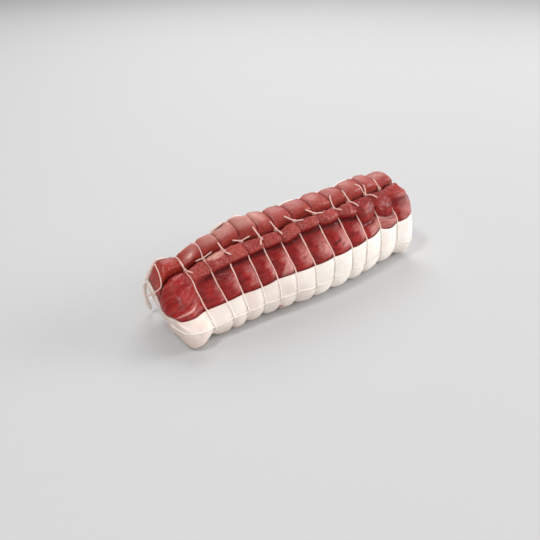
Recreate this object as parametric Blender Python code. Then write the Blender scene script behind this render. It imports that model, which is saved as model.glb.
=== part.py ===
"""Beef tenderloin roast, barded and tied.

Two muscles lie side by side with a deep groove between them along the top.
A sheet of fat (the bard) runs under them and up both long sides, and curls
round the lower part of each end. Twelve loops of butcher's twine, each
knotted in the groove, pinch the roast into pillows, and one long string
runs round the sides and ends beneath the loops.

Metres, +Z up, +X along the roast towards its thick end, +Y towards its back.
Every section is one closed outline through sixteen named places, whose sizes
are given at each loop and eased between them.
"""

import math

import bmesh
import bpy
import numpy as np
from mathutils import Vector

MM = 0.001

# ---- driving dimensions (millimetres) -------------------------------------
LOOP_X = [-111.5, -91.8, -75.7, -55.7, -38.6, -19.3, 3.4, 27.3, 53.5, 75.2, 103.1, 130.2]
LEFT_X, RIGHT_X = -143.0, 160.5     # where the bard ends
LEFT_ROUND, RIGHT_ROUND = 12.0, 17.0   # length over which the ends close
MOUTH_SAG = 8.5                     # dip of the bard's edge across an end
BARD_THICK = 2.8
GAP = 0.4                           # between touching pieces
INTERFACE_GAP = 0.8                 # between the two muscles
STRING_R = 0.7
STRING_LIFT = STRING_R + 0.7        # string centre above the pinched surface
BASE_NOTCH = 2.4                    # how far a loop lifts the underside
TAIL_R = 0.65
ORIGIN = (8.70, 35.15)              # x, y of the middle of the base

# Stations: left end, left pillow, the twelve loops, right pillow, right end.
STATION_X = [LEFT_X, -129.0] + LOOP_X + [148.0, RIGHT_X]
SIZES = {
    # front belly: how far forward, how high, and the radius of the edge below
    "belly_y": [-7.5, -8.5, 0.5, -0.9, -1.6, -2.5, -5.6, -7.0, -9.3, -8.7, -8.1, -6.5, -1.6, 0.6, -0.6, 1.0],
    "belly_z": [20, 20, 15.5, 18, 18.5, 19.5, 21, 21, 20, 20, 20, 20, 20, 20, 20, 20],
    "front_r": [13, 13, 14, 14.3, 16.8, 19, 20, 19.5, 18.6, 19, 19, 19, 19, 19, 18, 17],
    # front edge of the bard
    "edge_y": [17, 10, 14.8, 9.0, 5.8, 2.6, -0.1, -3.9, -6.0, -8.2, -6.6, -5.9, 1.7, 2.3, 2.5, 9.0],
    "edge_z": [24, 28, 25.9, 30.3, 33.9, 35.3, 39.0, 40.6, 41.1, 43.6, 44.0, 46.1, 48.2, 46.7, 45.0, 43.0],
    # crease between the lower face and the upper strip of the front muscle
    "crease_y": [34, 34, 33.5, 31.8, 24.0, 22.9, 21.0, 18.0, 18.5, 17.0, 17.6, 12.5, 17.0, 15.0, 13.0, 14.0],
    "crease_z": [42, 45, 42.0, 46.8, 56.0, 59.2, 62.9, 65.0, 69.5, 71.5, 71.7, 70.5, 71.5, 67.0, 67.0, 66.0],
    "crease": [0, 0, 0.1, 0.4, 1, 1, 1, 1, 1, 1, 1, 1, 0.8, 0.5, 0.3, 0.2],
    # groove between the muscles, at the level of the knots
    "groove_y": [43, 48, 51.0, 48.8, 38.0, 35.5, 28.5, 27.6, 27.3, 24.8, 25.0, 24.8, 27.5, 32.2, 33.0, 35.0],
    "groove_z": [49, 54, 52.0, 58.5, 68.5, 70.5, 73.8, 74.2, 76.8, 78.6, 77.2, 78.6, 77.0, 75.4, 77.5, 77.0],
    # where the back muscle turns down, and the back wall
    "rim_y": [68, 72, 68.5, 64.6, 61.5, 61.8, 55.3, 54.2, 54.1, 52.3, 54.2, 50.5, 53.9, 60.0, 60.0, 60.0],
    "rim_z": [54, 59, 59.0, 68.9, 75.1, 82.0, 85.0, 83.2, 83.4, 85.3, 84.1, 86.2, 86.6, 81.0, 80.0, 80.0],
    "back_y": [79, 79, 77.0, 75.5, 74.0, 73.0, 70.0, 69.0, 69.0, 68.0, 68.5, 67.5, 69.5, 73.0, 73.0, 72.0],
    "back_r": [46, 42, 34.0, 26.0, 22.0, 20.0, 20.0, 20.0, 20.0, 20.0, 20.0, 20.0, 20.0, 20.0, 20.0, 22.0],
}
# Pillow between each two stations of the ends and loops: height factor, and how
# far the bard's back edge stands above the back rim (fraction of the way to the top).
PILLOW = [1.0, 1.0, 1.0, 1.0, 1.0, 1.0, 1.05, 1.05, 1.1, 1.0, 1.15, 1.1, 1.2]
BACK_EDGE = [0.30, 0.12, 0.14, 0.55, 0.40, -0.10, 0.05, 0.22, 0.08, 0.18, 0.18, 0.10, -0.25]
# Outward swell of a pillow at each of the sixteen places of a section.
SWELL = [0, 0, 2.0, 2.6, 2.6, 3.0, 1.6, 2.4, 2.6, -0.5, 2.2, 2.8, 2.6, 2.8, 2.2, 0]
PLACES = 16
EDGE, CREASE, GROOVE, TOP, RIM, BACK = 4, 6, 9, 11, 12, 13

# Knot of each loop as (y, z), then its tail tips as (x, y, z) from the knot.
KNOTS = [(48.7, 52.4), (47.4, 58.5), (35.0, 66.2), (35.0, 70.0), (25.5, 71.0), (27.3, 74.2),
         (26.2, 76.8), (23.6, 78.6), (23.6, 76.9), (23.6, 78.4), (27.4, 76.6), (32.4, 74.9)]
TAILS = [
    [(-2.0, 7.1, 7.8), (5.8, -0.5, -3.6)],
    [(-6.9, 1.1, -1.0), (6.5, -4.0, 5.8)],
    [(-2.7, 5.4, 7.1), (2.0, -7.3, -1.1)],
    [(-7.7, 2.1, 2.5), (7.9, -1.8, 3.3)],
    [(-5.0, 6.5, 11.0), (-4.5, -5.0, -2.7)],
    [(-4.7, 3.2, 8.1), (1.2, -7.4, -2.2)],
    [(-10.2, 3.6, 6.4), (5.6, -4.9, 1.4)],
    [(-8.8, 3.5, 5.2), (6.5, -4.3, 0.6)],
    [(2.1, 9.3, 9.5), (3.6, -7.2, -3.4)],
    [(-2.9, 8.1, 9.6), (3.3, -9.9, -2.3)],
    [(-10.4, 5.7, 12.6), (1.2, 4.6, 9.2), (6.9, -10.1, -4.8)],
    [(-2.6, 8.5, 9.4)],
]

# Where the long string crosses the back muscle at the thin end, as (x, place).
STRAND = [(-133.2, 12.9), (-134.4, 12.2), (-135.4, 11.6), (-136.4, 11.0), (-138.3, 10.5), (-140.2, 10.0)]


# ---- outline of the roast ---------------------------------------------------
def ease(xs, values, x):
    """Smooth curve through the stations: cubic with slopes limited so it never overshoots."""
    xs, values = np.asarray(xs, float), np.asarray(values, float)
    step = np.diff(xs)
    rise = np.diff(values) / step
    slope = np.zeros(len(xs))
    for i in range(1, len(xs) - 1):
        if rise[i - 1] * rise[i] > 0:
            w1, w2 = 2 * step[i] + step[i - 1], step[i] + 2 * step[i - 1]
            slope[i] = (w1 + w2) / (w1 / rise[i - 1] + w2 / rise[i])
    x = min(max(x, xs[0]), xs[-1])
    i = min(int(np.searchsorted(xs, x, side="right")) - 1, len(xs) - 2)
    h = step[i]
    u = (x - xs[i]) / h
    return (
        values[i] * (2 * u**3 - 3 * u**2 + 1)
        + slope[i] * h * (u**3 - 2 * u**2 + u)
        + values[i + 1] * (3 * u**2 - 2 * u**3)
        + slope[i + 1] * h * (u**3 - u**2)
    )


def segment_of(x):
    """Index of the pillow that holds x, and how far along it x is."""
    ends = [2 * LEFT_X - LOOP_X[0]] + LOOP_X + [2 * RIGHT_X - LOOP_X[-1]]
    i = min(max(int(np.searchsorted(ends, x, side="right")) - 1, 0), len(ends) - 2)
    return i, (x - ends[i]) / (ends[i + 1] - ends[i])


def pillow(x):
    """0 under a string, 1 on top of the pillow between two strings."""
    i, u = segment_of(x)
    return PILLOW[i] * (1 - abs(2 * min(max(u, 0.0), 1.0) - 1) ** 2.6) ** 0.5


def places(x):
    """The sixteen named places of the section at x, as (y, z)."""
    s = {name: ease(STATION_X, row, x) for name, row in SIZES.items()}
    b = pillow(x)
    r, rb = s["front_r"], s["back_r"]
    lift = BASE_NOTCH * max(0.0, 1 - 1.15 * b)
    front_start, back_start = s["belly_y"] + r, s["back_y"] - rb
    edge, crease = np.array([s["edge_y"], s["edge_z"]]), np.array([s["crease_y"], s["crease_z"]])
    groove = np.array([s["groove_y"], s["groove_z"]])
    rim = np.array([s["rim_y"], s["rim_z"]])
    along = (crease - edge) / np.linalg.norm(crease - edge)
    out = np.array([-along[1], along[0]])
    strip = crease + (groove - crease) * 0.52 + np.array([0.0, 2.6 * s["crease"]])
    back_z = 0.54 * s["rim_z"]
    top = rim + np.array([-0.34 * (rim[0] - groove[0]), 0.055 * (rim[0] - groove[0]) + 1.4])
    pts = [
        (0.5 * (front_start + back_start), lift),
        (front_start, lift),
        (s["belly_y"] + 0.29 * r, lift + 0.29 * r),
        (s["belly_y"], max(s["belly_z"], 0.9 * r + lift)),
        edge,
        edge + (crease - edge) * 0.5 + out * 1.6,
        crease - out * 1.4 * s["crease"],
        crease + (strip - crease) * 0.42 + np.array([-1.2, 1.6]) * s["crease"],
        strip,
        groove + np.array([0.0, -4.5 - 1.5 * b]),
        groove + (top - groove) * np.array([0.2, 0.62]),
        top,
        rim,
        (s["back_y"], back_z),
        (s["back_y"] - 0.29 * rb, lift + 0.29 * rb),
        (back_start, lift),
    ]
    pts = np.array([np.asarray(p, float) for p in pts])
    tangent = np.roll(pts, -1, axis=0) - np.roll(pts, 1, axis=0)
    tangent /= np.linalg.norm(tangent, axis=1)[:, None]
    # The outline runs front side up, over the top and down the back, so its outside is on the left.
    normal = np.stack([-tangent[:, 1], tangent[:, 0]], 1)
    normal[GROOVE] = (0, 1)
    pts = pts + normal * (np.array(SWELL) * b - 0.8 * (np.array(SWELL) > 0))[:, None]
    return pts


def outline(pts, t):
    """Point and outward normal at t, where whole numbers are the named places."""
    i = int(math.floor(t)) % PLACES
    u = t - math.floor(t)
    p0, p1, p2, p3 = (pts[(i + k) % PLACES] for k in (-1, 0, 1, 2))
    d0, d1, d2 = (max(np.linalg.norm(b - a), 1e-6) ** 0.5 for a, b in ((p0, p1), (p1, p2), (p2, p3)))
    m1 = (p1 - p0) / d0 - (p2 - p0) / (d0 + d1) + (p2 - p1) / d1
    m2 = (p2 - p1) / d1 - (p3 - p1) / (d1 + d2) + (p3 - p2) / d2
    m1, m2 = m1 * d1, m2 * d1
    point = (
        p1 * (2 * u**3 - 3 * u**2 + 1)
        + m1 * (u**3 - 2 * u**2 + u)
        + p2 * (3 * u**2 - 2 * u**3)
        + m2 * (u**3 - u**2)
    )
    slope = p1 * (6 * u**2 - 6 * u) + m1 * (3 * u**2 - 4 * u + 1) + p2 * (6 * u - 6 * u**2) + m2 * (3 * u**2 - 2 * u)
    slope /= max(np.linalg.norm(slope), 1e-9)
    return np.array([point[0], max(point[1], 0.0)]), np.array([-slope[1], slope[0]])


def back_edge(x):
    """Where along the outline the bard's back edge lies."""
    i, u = segment_of(x)
    w = math.sin(math.pi * min(max(u, 0.0), 1.0)) ** 0.8
    return RIM - (0.08 + (BACK_EDGE[i] - 0.08) * w)


def end_close(x, inner, power):
    """How an end closes: (x of a layer that lies `inner` below the outside, how open the section still is)."""
    left, right = LEFT_X + LEFT_ROUND, RIGHT_X - RIGHT_ROUND
    if left <= x <= right:
        return x, 1.0
    r, centre, side = (LEFT_ROUND, left, -1) if x < left else (RIGHT_ROUND, right, 1)
    u = min(abs(x - centre) / r, 1.0)
    return centre + side * (r - inner) * u, (1 - u**power) ** 0.5


def surface(x, t, inner=0.0, proud=0.0):
    """A point (x, y, z) in mm at station x and place t, `inner` below the outside.

    At the ends the section closes like a bow: the bard's part upwards and the meat's part
    downwards onto the line that joins the bard's two edges."""
    pts = places(x)
    p, n = outline(pts, t)
    front, back = outline(pts, EDGE)[0], outline(pts, back_edge(x))[0]
    above = EDGE < t % PLACES < back_edge(x)
    p = p - n * inner
    chord = back - front
    w = min(max(float((p - front) @ chord / (chord @ chord)), 0.0), 1.0)
    # The meat closes late, like a dome; the bard of the thin end turns in sooner towards its back.
    power = 3.4 if above else 2.4 if x > 0 else 3.6 - 2.1 * min(2.5 * w, 1.0)
    across, open_ = end_close(x, BARD_THICK + GAP if above else inner, power)
    on_chord = front + chord * w - np.array([0.0, MOUTH_SAG * 4 * w * (1 - w) - (2.2 * (1 - open_) if above else 0.0)])
    if not above and inner > BARD_THICK:
        # The muscle stays inside the bard's corner folds.
        on_chord = on_chord + np.array([1.2 * (1 - 2 * w), -1.9]) * (1 - open_)
    p = on_chord + (p - on_chord) * open_ + n * proud
    return np.array([across, p[0], p[1]])


def stations():
    """Where sections are taken: each string, and two places across each pillow."""
    xs = []
    closing = (0.0, 0.5, 0.85, 0.996)
    ends = [LEFT_X] + LOOP_X + [RIGHT_X]
    for k, (a, b) in enumerate(zip(ends, ends[1:])):
        if k == 0:
            xs += [a + LEFT_ROUND * (1 - f) for f in closing[::-1]] + [b - 10, b - 4]
        elif k == len(ends) - 2:
            xs += [a, a + 4, a + 10] + [b - RIGHT_ROUND * (1 - f) for f in closing]
        else:
            xs += [a + f * (b - a) for f in (0, 0.22, 0.78)]
    return xs


# ---- mesh helpers -----------------------------------------------------------
def to_world(p):
    return ((p[0] - ORIGIN[0]) * MM, (p[1] - ORIGIN[1]) * MM, p[2] * MM)


def material(name, colour, roughness):
    m = bpy.data.materials.new(name)
    m.use_nodes = True
    shader = m.node_tree.nodes["Principled BSDF"]
    shader.inputs["Base Color"].default_value = (*colour, 1)
    shader.inputs["Roughness"].default_value = roughness
    shader.inputs["Metallic"].default_value = 0.0
    return m


def add_mesh(name, rings, mat, ends="fan", turned=()):
    """A loft through closed rings of equal count. ends: 'fan' closes on the ring's middle,
    'strip' joins the first half of a ring to its mirrored second half. turned: the sides
    whose quads are cut along their other diagonal."""
    n = len(rings[0])
    verts = [to_world(p) for ring in rings for p in ring]
    faces = []
    for i in range(len(rings) - 1):
        for j in range(n):
            a, b = i * n + j, i * n + (j + 1) % n
            faces += [(a, b, a + n), (b, b + n, a + n)] if j in turned else [(a, b, b + n), (a, b + n, a + n)]
    last = (len(rings) - 1) * n
    if ends == "fan":
        for first, ring, flip in ((0, rings[0], True), (last, rings[-1], False)):
            verts.append(to_world(np.mean(ring, axis=0)))
            middle = len(verts) - 1
            for j in range(n):
                tri = (first + j, first + (j + 1) % n, middle)
                faces.append(tri[::-1] if flip else tri)
    else:
        for first, flip in ((0, True), (last, False)):
            for j in range(n // 2 - 1):
                quad = (first + j, first + j + 1, first + n - 2 - j, first + n - 1 - j)
                faces.append(quad[::-1] if flip else quad)
    mesh = bpy.data.meshes.new(name)
    mesh.from_pydata(verts, [], faces)
    bm = bmesh.new()
    bm.from_mesh(mesh)
    bmesh.ops.recalc_face_normals(bm, faces=bm.faces)
    bm.to_mesh(mesh)
    bm.free()
    mesh.shade_smooth()
    obj = bpy.data.objects.new(name, mesh)
    obj.data.materials.append(mat)
    parts.objects.link(obj)
    return obj


def tube(name, points, radius, closed=False):
    """A string along points (mm) as a welded mesh with four sides."""
    curve = bpy.data.curves.new(name, "CURVE")
    curve.dimensions = "3D"
    curve.bevel_depth = radius * MM
    curve.bevel_resolution = 0
    curve.use_fill_caps = not closed
    spline = curve.splines.new("POLY")
    spline.points.add(len(points) - 1)
    for target, p in zip(spline.points, points):
        target.co = (*to_world(p), 1)
    spline.use_cyclic_u = closed
    helper = bpy.data.objects.new(name + "_path", curve)
    parts.objects.link(helper)
    graph = bpy.context.evaluated_depsgraph_get()
    mesh = bpy.data.meshes.new_from_object(helper.evaluated_get(graph))
    bm = bmesh.new()
    bm.from_mesh(mesh)
    bmesh.ops.remove_doubles(bm, verts=bm.verts, dist=1e-6)
    bmesh.ops.recalc_face_normals(bm, faces=bm.faces)
    bm.to_mesh(mesh)
    bm.free()
    bpy.data.objects.remove(helper)
    mesh.name = name
    obj = bpy.data.objects.new(name, mesh)
    parts.objects.link(obj)
    return obj


def smooth_path(points, spacing):
    """Even points along a smooth curve through the given ones."""
    points = [np.asarray(p, float) for p in points]
    dense = []
    for i in range(len(points) - 1):
        p0, p1, p2, p3 = points[max(i - 1, 0)], points[i], points[i + 1], points[min(i + 2, len(points) - 1)]
        for u in np.linspace(0, 1, 12, endpoint=False):
            dense.append(
                0.5 * (2 * p1 + (p2 - p0) * u + (2 * p0 - 5 * p1 + 4 * p2 - p3) * u**2 + (3 * p1 - p0 - 3 * p2 + p3) * u**3)
            )
    dense.append(points[-1])
    dense = np.array(dense)
    along = np.concatenate([[0], np.cumsum(np.linalg.norm(np.diff(dense, axis=0), axis=1))])
    count = max(int(round(along[-1] / spacing)), 2)
    where = np.linspace(0, along[-1], count + 1)
    return [np.array([np.interp(w, along, dense[:, k]) for k in range(3)]) for w in where]


def join(obj, others):
    """Boolean union of the pieces of one string; the cutters are kept out of the render."""
    for other in others:
        parts.objects.unlink(other)
        cutters.objects.link(other)
        other.hide_render = True
        other.display_type = "WIRE"
        modifier = obj.modifiers.new("join", "BOOLEAN")
        modifier.operation = "UNION"
        modifier.solver = "EXACT"
        modifier.object = other


# ---- the pieces ---------------------------------------------------------------
def meat_ring(x, front):
    """Section of one muscle: its open surface, the wall down the groove, and its underside."""
    edge = back_edge(x)
    shut = 1 - end_close(x, 0, 2.4)[1]
    under = BARD_THICK + GAP + 0.7 * shut
    side = -1 if front else 1
    if front:
        shown = [(EDGE + 0.22, 1.3 * (1 - shut)), (4.5, 0.3 * (1 - shut)), (5, 0), (6, 0), (7, 0), (8, 0)]
        below = [(0, under), (1, under), (2, under), (3, under + 0.2), (4, under + 0.9)]
    else:
        shown = [(10, 0), (10.5, 0), (11, 0), (edge - 0.32, 0.3 * (1 - shut)), (edge - 0.16, 1.4 * (1 - shut))]
        below = [(edge, under + 0.9), (12.6, under + 0.2), (13, under), (14, under), (15, under), (16, under)]
    ring = [surface(x, t, 0, -d) for t, d in shown]
    shift = np.array([0, side * INTERFACE_GAP / 2, 0])
    groove, floor = surface(x, GROOVE), surface(x, 0, under)
    wall = [groove + (floor - groove) * f + shift for f in (0, 0.35, 0.7)]
    lower = [surface(x, t, under) for t, _ in below]
    if front:
        lower[0] = lower[0] + shift
        return ring + wall + lower
    lower[-1] = lower[-1] + shift
    return ring + lower + wall[::-1]


def make_meat(name, front, mat):
    rings = [meat_ring(x, front) for x in stations()]
    wall = () if front else range(len(rings[0]) - 4, len(rings[0]) - 1)
    return add_mesh(name, rings, mat, turned=wall)


def make_bard(mat):
    """The fat sheet: outer outline from its front edge under the roast to its back edge, and back along the inside."""
    rings = []
    for x in stations():
        edge = back_edge(x)
        run = [4, 3, 2, 1, 0, -1, -1.5, -2, -2.5, -3, -3.4, edge - PLACES]
        outer = [surface(x, t % PLACES) for t in run]
        inner = [surface(x, t % PLACES, BARD_THICK) for t in run]
        rings.append(outer + inner[::-1])
    bard = add_mesh("bard", rings, mat, ends="strip")
    # The loose tongue of fat that hangs from the back corner of the thin end.
    root = [surface(LEFT_X + 5.5, 12.75, BARD_THICK * 0.4), surface(LEFT_X + 2.5, 12.9, BARD_THICK * 0.3)]
    path = smooth_path(root + [(-139.5, 78.0, 36), (-138.5, 79, 26), (-136.5, 79.5, 16), (-132.5, 79, 7)], 7)
    rings = []
    for i, p in enumerate(path):
        d = path[min(i + 1, len(path) - 1)] - path[max(i - 1, 0)]
        d /= np.linalg.norm(d)
        thick = np.cross(d, (0.87, 0.5, 0))
        thick /= np.linalg.norm(thick)
        wide = np.cross(thick, d)
        w, h = 3.1 - 0.1 * i, 1.1 if i < len(path) - 1 else 0.8
        rings.append([p + wide * w * a + thick * h * b for a, b in ((-1, -1), (1, -1), (1, 1), (-1, 1))])
    tongue = add_mesh("bard_tongue", rings, mat)
    join(bard, [tongue])
    return bard


def loop_path(i):
    """Centre line of one loop of string, starting at its knot."""
    x = LOOP_X[i]
    pts = places(x)
    run = [8, 7, 6, 5, 4.5, 4, 3.5, 3.15, 2.85, 2.4, 2, 1, 0, 15, 14.5, 14, 13.55, 13.25, 12.95, 12.5, 12, 11.5, 11, 10.5, 10]
    out = [np.array([x, KNOTS[i][0], KNOTS[i][1] + 0.4])]
    for t in run:
        p, n = outline(pts, t)
        lift = STRING_LIFT if 2.2 < t < 14.5 else STRING_R + 0.45
        for crossing in (3.0, 13.25):
            lift += 2.1 * math.exp(-(((t - crossing) / 0.28) ** 2))
        q = p + n * lift
        out.append(np.array([x, q[0], q[1]]))
    return out


def height(x, y):
    """Height of the meat's upper surface at (x, y)."""
    ts = np.linspace(EDGE + 0.3, RIM, 60)
    line = np.array([surface(x, t)[1:] for t in ts])
    best = 0.0
    for a, b in zip(line, line[1:]):
        if min(a[0], b[0]) <= y <= max(a[0], b[0]) and a[0] != b[0]:
            best = max(best, a[1] + (b[1] - a[1]) * (y - a[0]) / (b[0] - a[0]))
    return best


def make_loop(i, mat):
    x = LOOP_X[i]
    ring = loop_path(i)
    knot = ring[0]
    loop = tube(f"string_{i + 1:02d}", ring, STRING_R, closed=True)
    bpy.ops.mesh.primitive_uv_sphere_add(segments=6, ring_count=4, radius=1.0)
    bead = bpy.context.object
    bead.name = f"knot_{i + 1:02d}"
    bead.scale = (2.0 * MM, 1.6 * MM, 1.5 * MM)
    bead.location = to_world(knot + np.array([0.13, 0.07, 0.75]))
    for c in list(bead.users_collection):
        c.objects.unlink(bead)
    parts.objects.link(bead)
    pieces = [bead]
    start = knot + np.array([0.1, 0.05, 0.9])
    for k, tip in enumerate(TAILS[i]):
        tip = start + np.array(tip)
        line = [start + (tip - start) * f for f in (0, 0.5, 1)]
        for p in line[1:]:
            p[2] = max(p[2], height(p[0], p[1]) + TAIL_R + 1.0, height(p[0], p[1] + 1.3) + TAIL_R + 0.4)
        pieces.append(tube(f"tail_{i + 1:02d}_{k}", line, TAIL_R))
    join(loop, pieces)
    loop.data.materials.append(mat)
    return loop


def make_long_string(mat):
    """The string that runs once round the sides and ends, beneath the loops."""
    reach = STRING_R + 0.45
    front, back = [], []
    ends = [LEFT_X + LEFT_ROUND * 0.38] + LOOP_X + [RIGHT_X - RIGHT_ROUND * 0.38]
    for k, (a, b) in enumerate(zip(ends, ends[1:])):
        for f in (0, 0.25, 0.5, 0.78) if k in (0, len(ends) - 2) else (0, 0.22, 0.78):
            front.append(surface(a + f * (b - a), 3.0, 0, reach))
            if a + f * (b - a) > STRAND[0][0] + 1.5:
                back.append(surface(a + f * (b - a), 13.25, 0, reach))
    front.append(surface(ends[-1], 3.0, 0, reach))
    back.append(surface(ends[-1], 13.25, 0, reach))
    right = [surface(RIGHT_X - RIGHT_ROUND * f, t, 0, reach + 0.3) for f, t in ((0.18, 2.7), (0.06, 2.2), (0.02, 1.0), (0.01, 0.0), (0.02, 15.0), (0.06, 14.0), (0.18, 13.4))]
    # At the thin end it climbs over the back muscle into the groove, then drops over the bard's lip.
    strand = [surface(x, t, 0, reach + 0.6) for x, t in STRAND]
    lip = surface(LEFT_X, 14.2) + np.array([-0.5, 0.0, STRING_R + 1.2])
    left = [surface(LEFT_X + LEFT_ROUND * f, t, 0, reach + 0.3) for f, t in ((0.02, 14.4), (0.02, 14.7), (0.02, 15.5), (0.02, 1.3), (0.06, 2.2), (0.18, 2.7))]
    for p in right:
        p[0] += 0.9
    for p in left:
        p[0] -= 1.1
    loop = tube("string_long", front + right + back[::-1] + strand + [lip] + left, STRING_R, closed=True)
    loop.data.materials.append(mat)
    return loop


# ---- build ----------------------------------------------------------------------
for old in list(bpy.data.objects):
    bpy.data.objects.remove(old)

parts = bpy.data.collections.new("beef_tenderloin_roast")
cutters = bpy.data.collections.new("joining_pieces")
for collection in (parts, cutters):
    bpy.context.scene.collection.children.link(collection)

red = material("meat_front_red", (0.28, 0.03, 0.03), 0.38)
rose = material("meat_back_rose", (0.27, 0.06, 0.055), 0.42)
fat = material("bard_fat", (0.84, 0.76, 0.70), 0.5)
twine = material("twine", (0.80, 0.66, 0.60), 0.8)

make_meat("meat_front", True, red)
make_meat("meat_back", False, rose)
make_bard(fat)
for number in range(len(LOOP_X)):
    make_loop(number, twine)
make_long_string(twine)
cutters.hide_render = True
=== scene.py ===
"""Looks of a barded and tied beef tenderloin roast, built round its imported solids.

The same named sections as the solids, sampled finely: deep narrow notches where
the string bites, fibres and membranes on the two muscles, a sheet of fat with a
rounded edge, and twisted twine with tied knots and frayed tails.
Lengths are in millimetres in the roast's own frame until to_world().
"""

import math

import bpy
import numpy as np
from mathutils import Matrix, Vector
from mathutils.bvhtree import BVHTree


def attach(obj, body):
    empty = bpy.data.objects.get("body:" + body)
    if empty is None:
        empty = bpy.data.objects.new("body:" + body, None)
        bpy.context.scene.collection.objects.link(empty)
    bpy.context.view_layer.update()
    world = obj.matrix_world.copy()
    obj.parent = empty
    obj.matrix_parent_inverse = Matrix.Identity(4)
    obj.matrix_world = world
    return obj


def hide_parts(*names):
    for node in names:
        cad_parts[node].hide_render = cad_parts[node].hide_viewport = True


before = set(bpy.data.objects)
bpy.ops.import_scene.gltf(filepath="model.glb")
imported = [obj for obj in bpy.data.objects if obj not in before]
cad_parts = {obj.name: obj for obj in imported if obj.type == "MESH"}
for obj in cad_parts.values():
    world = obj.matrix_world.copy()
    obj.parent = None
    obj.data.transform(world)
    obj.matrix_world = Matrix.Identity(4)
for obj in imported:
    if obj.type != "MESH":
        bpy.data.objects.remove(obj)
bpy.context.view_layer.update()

rng = np.random.default_rng(7)
MM = 0.001
ORIGIN = np.array([8.70, 35.15, 0.0])

# ---- the roast's sizes, as in the solids --------------------------------------
LOOP_X = [-111.5, -91.8, -75.7, -55.7, -38.6, -19.3, 3.4, 27.3, 53.5, 75.2, 103.1, 130.2]
LEFT_X, RIGHT_X = -142.6, 160.2
LEFT_ROUND, RIGHT_ROUND = 12.0, 17.0
BARD_THICK = 2.8
STRING_R = 0.72
BASE_NOTCH = 2.4

STATION_X = [LEFT_X, -129.0] + LOOP_X + [148.0, RIGHT_X]
SIZES = {
    "belly_y": [-3.5, -4.2, 0.5, -0.9, -1.6, -2.5, -5.6, -7.0, -9.3, -8.7, -8.1, -6.5, -1.6, 0.6, -0.6, 1.0],
    "belly_z": [20, 20, 15.5, 18, 18.5, 19.5, 21, 21, 20, 20, 20, 20, 20, 20, 20, 20],
    "front_r": [13, 13, 14, 14.3, 16.8, 19, 20, 19.5, 18.6, 19, 19, 19, 19, 19, 18, 17],
    "edge_y": [15, 9, 14.8, 9.0, 5.8, 2.6, -0.1, -3.9, -6.0, -8.2, -6.6, -5.9, 1.7, 2.3, 2.5, 9.0],
    "edge_z": [23.5, 26.5, 25.9, 30.3, 33.9, 35.3, 39.0, 40.6, 41.1, 43.6, 44.0, 46.1, 48.2, 46.7, 45.0, 43.0],
    "crease_y": [33, 33, 33.5, 31.8, 24.0, 22.9, 21.0, 18.0, 18.5, 17.0, 17.6, 12.5, 17.0, 15.0, 13.0, 14.0],
    "crease_z": [42, 45, 43.5, 48.3, 56.0, 59.2, 62.9, 65.0, 69.5, 71.5, 71.7, 70.5, 71.5, 67.0, 67.0, 66.0],
    "crease": [0, 0, 0.0, 0.3, 1, 1, 1, 1, 1, 1, 1, 1, 0.8, 0.4, 0.0, 0.0],
    "groove_y": [44, 48, 50.2, 47.8, 38.0, 35.5, 28.5, 27.6, 27.3, 24.8, 25.0, 24.8, 27.5, 32.2, 33.0, 35.0],
    "groove_z": [50, 53, 52.4, 59.0, 68.5, 70.5, 73.8, 74.2, 76.8, 78.6, 77.2, 78.6, 77.0, 75.4, 77.5, 78.0],
    "rim_y": [67, 71, 68.5, 64.6, 61.5, 61.8, 55.3, 54.2, 54.1, 52.3, 54.2, 50.5, 53.9, 60.0, 60.0, 60.0],
    "rim_z": [55, 60, 59.0, 68.9, 75.1, 82.0, 85.0, 83.2, 83.4, 85.3, 84.1, 86.2, 86.6, 81.0, 80.0, 80.0],
    "back_y": [79, 79, 77.0, 75.5, 74.0, 73.0, 70.0, 69.0, 69.0, 68.0, 68.5, 67.5, 69.5, 73.0, 73.0, 72.0],
    "back_r": [46, 42, 34.0, 26.0, 22.0, 20.0, 20.0, 20.0, 20.0, 20.0, 20.0, 20.0, 20.0, 20.0, 20.0, 22.0],
}
PILLOW = [1.0, 1.0, 1.0, 1.0, 1.0, 1.0, 1.05, 1.05, 1.1, 1.0, 1.15, 1.1, 1.2]
# How high the bard's back edge stands on each pillow, and how far its front edge dips (mm).
BACK_EDGE = [0.78, 0.12, 0.14, 0.55, 0.40, -0.10, 0.05, 0.22, 0.08, 0.18, 0.18, 0.10, -0.25]
# How far down the front the crease hangs on each pillow (mm).
CREASE_DROP = [0.0, 0.0, 0.0, 0.0, 0.5, 1.8, 4.8, 4.6, 6.2, 5.6, 16.5, 17.0, 0.0]
FRONT_DIP = [0.0, 0.4, 0.6, 0.5, 0.6, 0.4, 0.5, 0.6, 0.8, 0.8, 2.8, 4.8, 1.5]

# The named places of a section (t), how far each swells on a pillow, and how far a string sinks it.
TS = np.array([0, 1, 2, 3, 4, 5, 6, 7, 8, 8.7, 9, 9.3, 10, 11, 12, 13, 14, 15], float)
SW = np.array([0, 0, 3.0, 1.9, 1.9, 3.5, 2.0, 3.6, 3.9, 3.0, -0.5, 2.4, 4.2, 4.6, 4.2, 2.8, 2.4, 0])
SB = np.array([0, 0, -1.0, -0.6, -0.6, -0.9, -0.6, -1.6, -1.8, -1.3, 0, -1.1, -2.0, -2.2, -2.0, -0.8, -0.8, 0])
# Sharpness of the notch at each place: 0.5 is a deep cleft, 0.85 a soft dent.
SHARP = np.array([0.85, 0.85, 0.8, 0.9, 0.9, 0.75, 0.65, 0.5, 0.5, 0.5, 0.6, 0.5, 0.5, 0.5, 0.55, 0.8, 0.85, 0.85])

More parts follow.
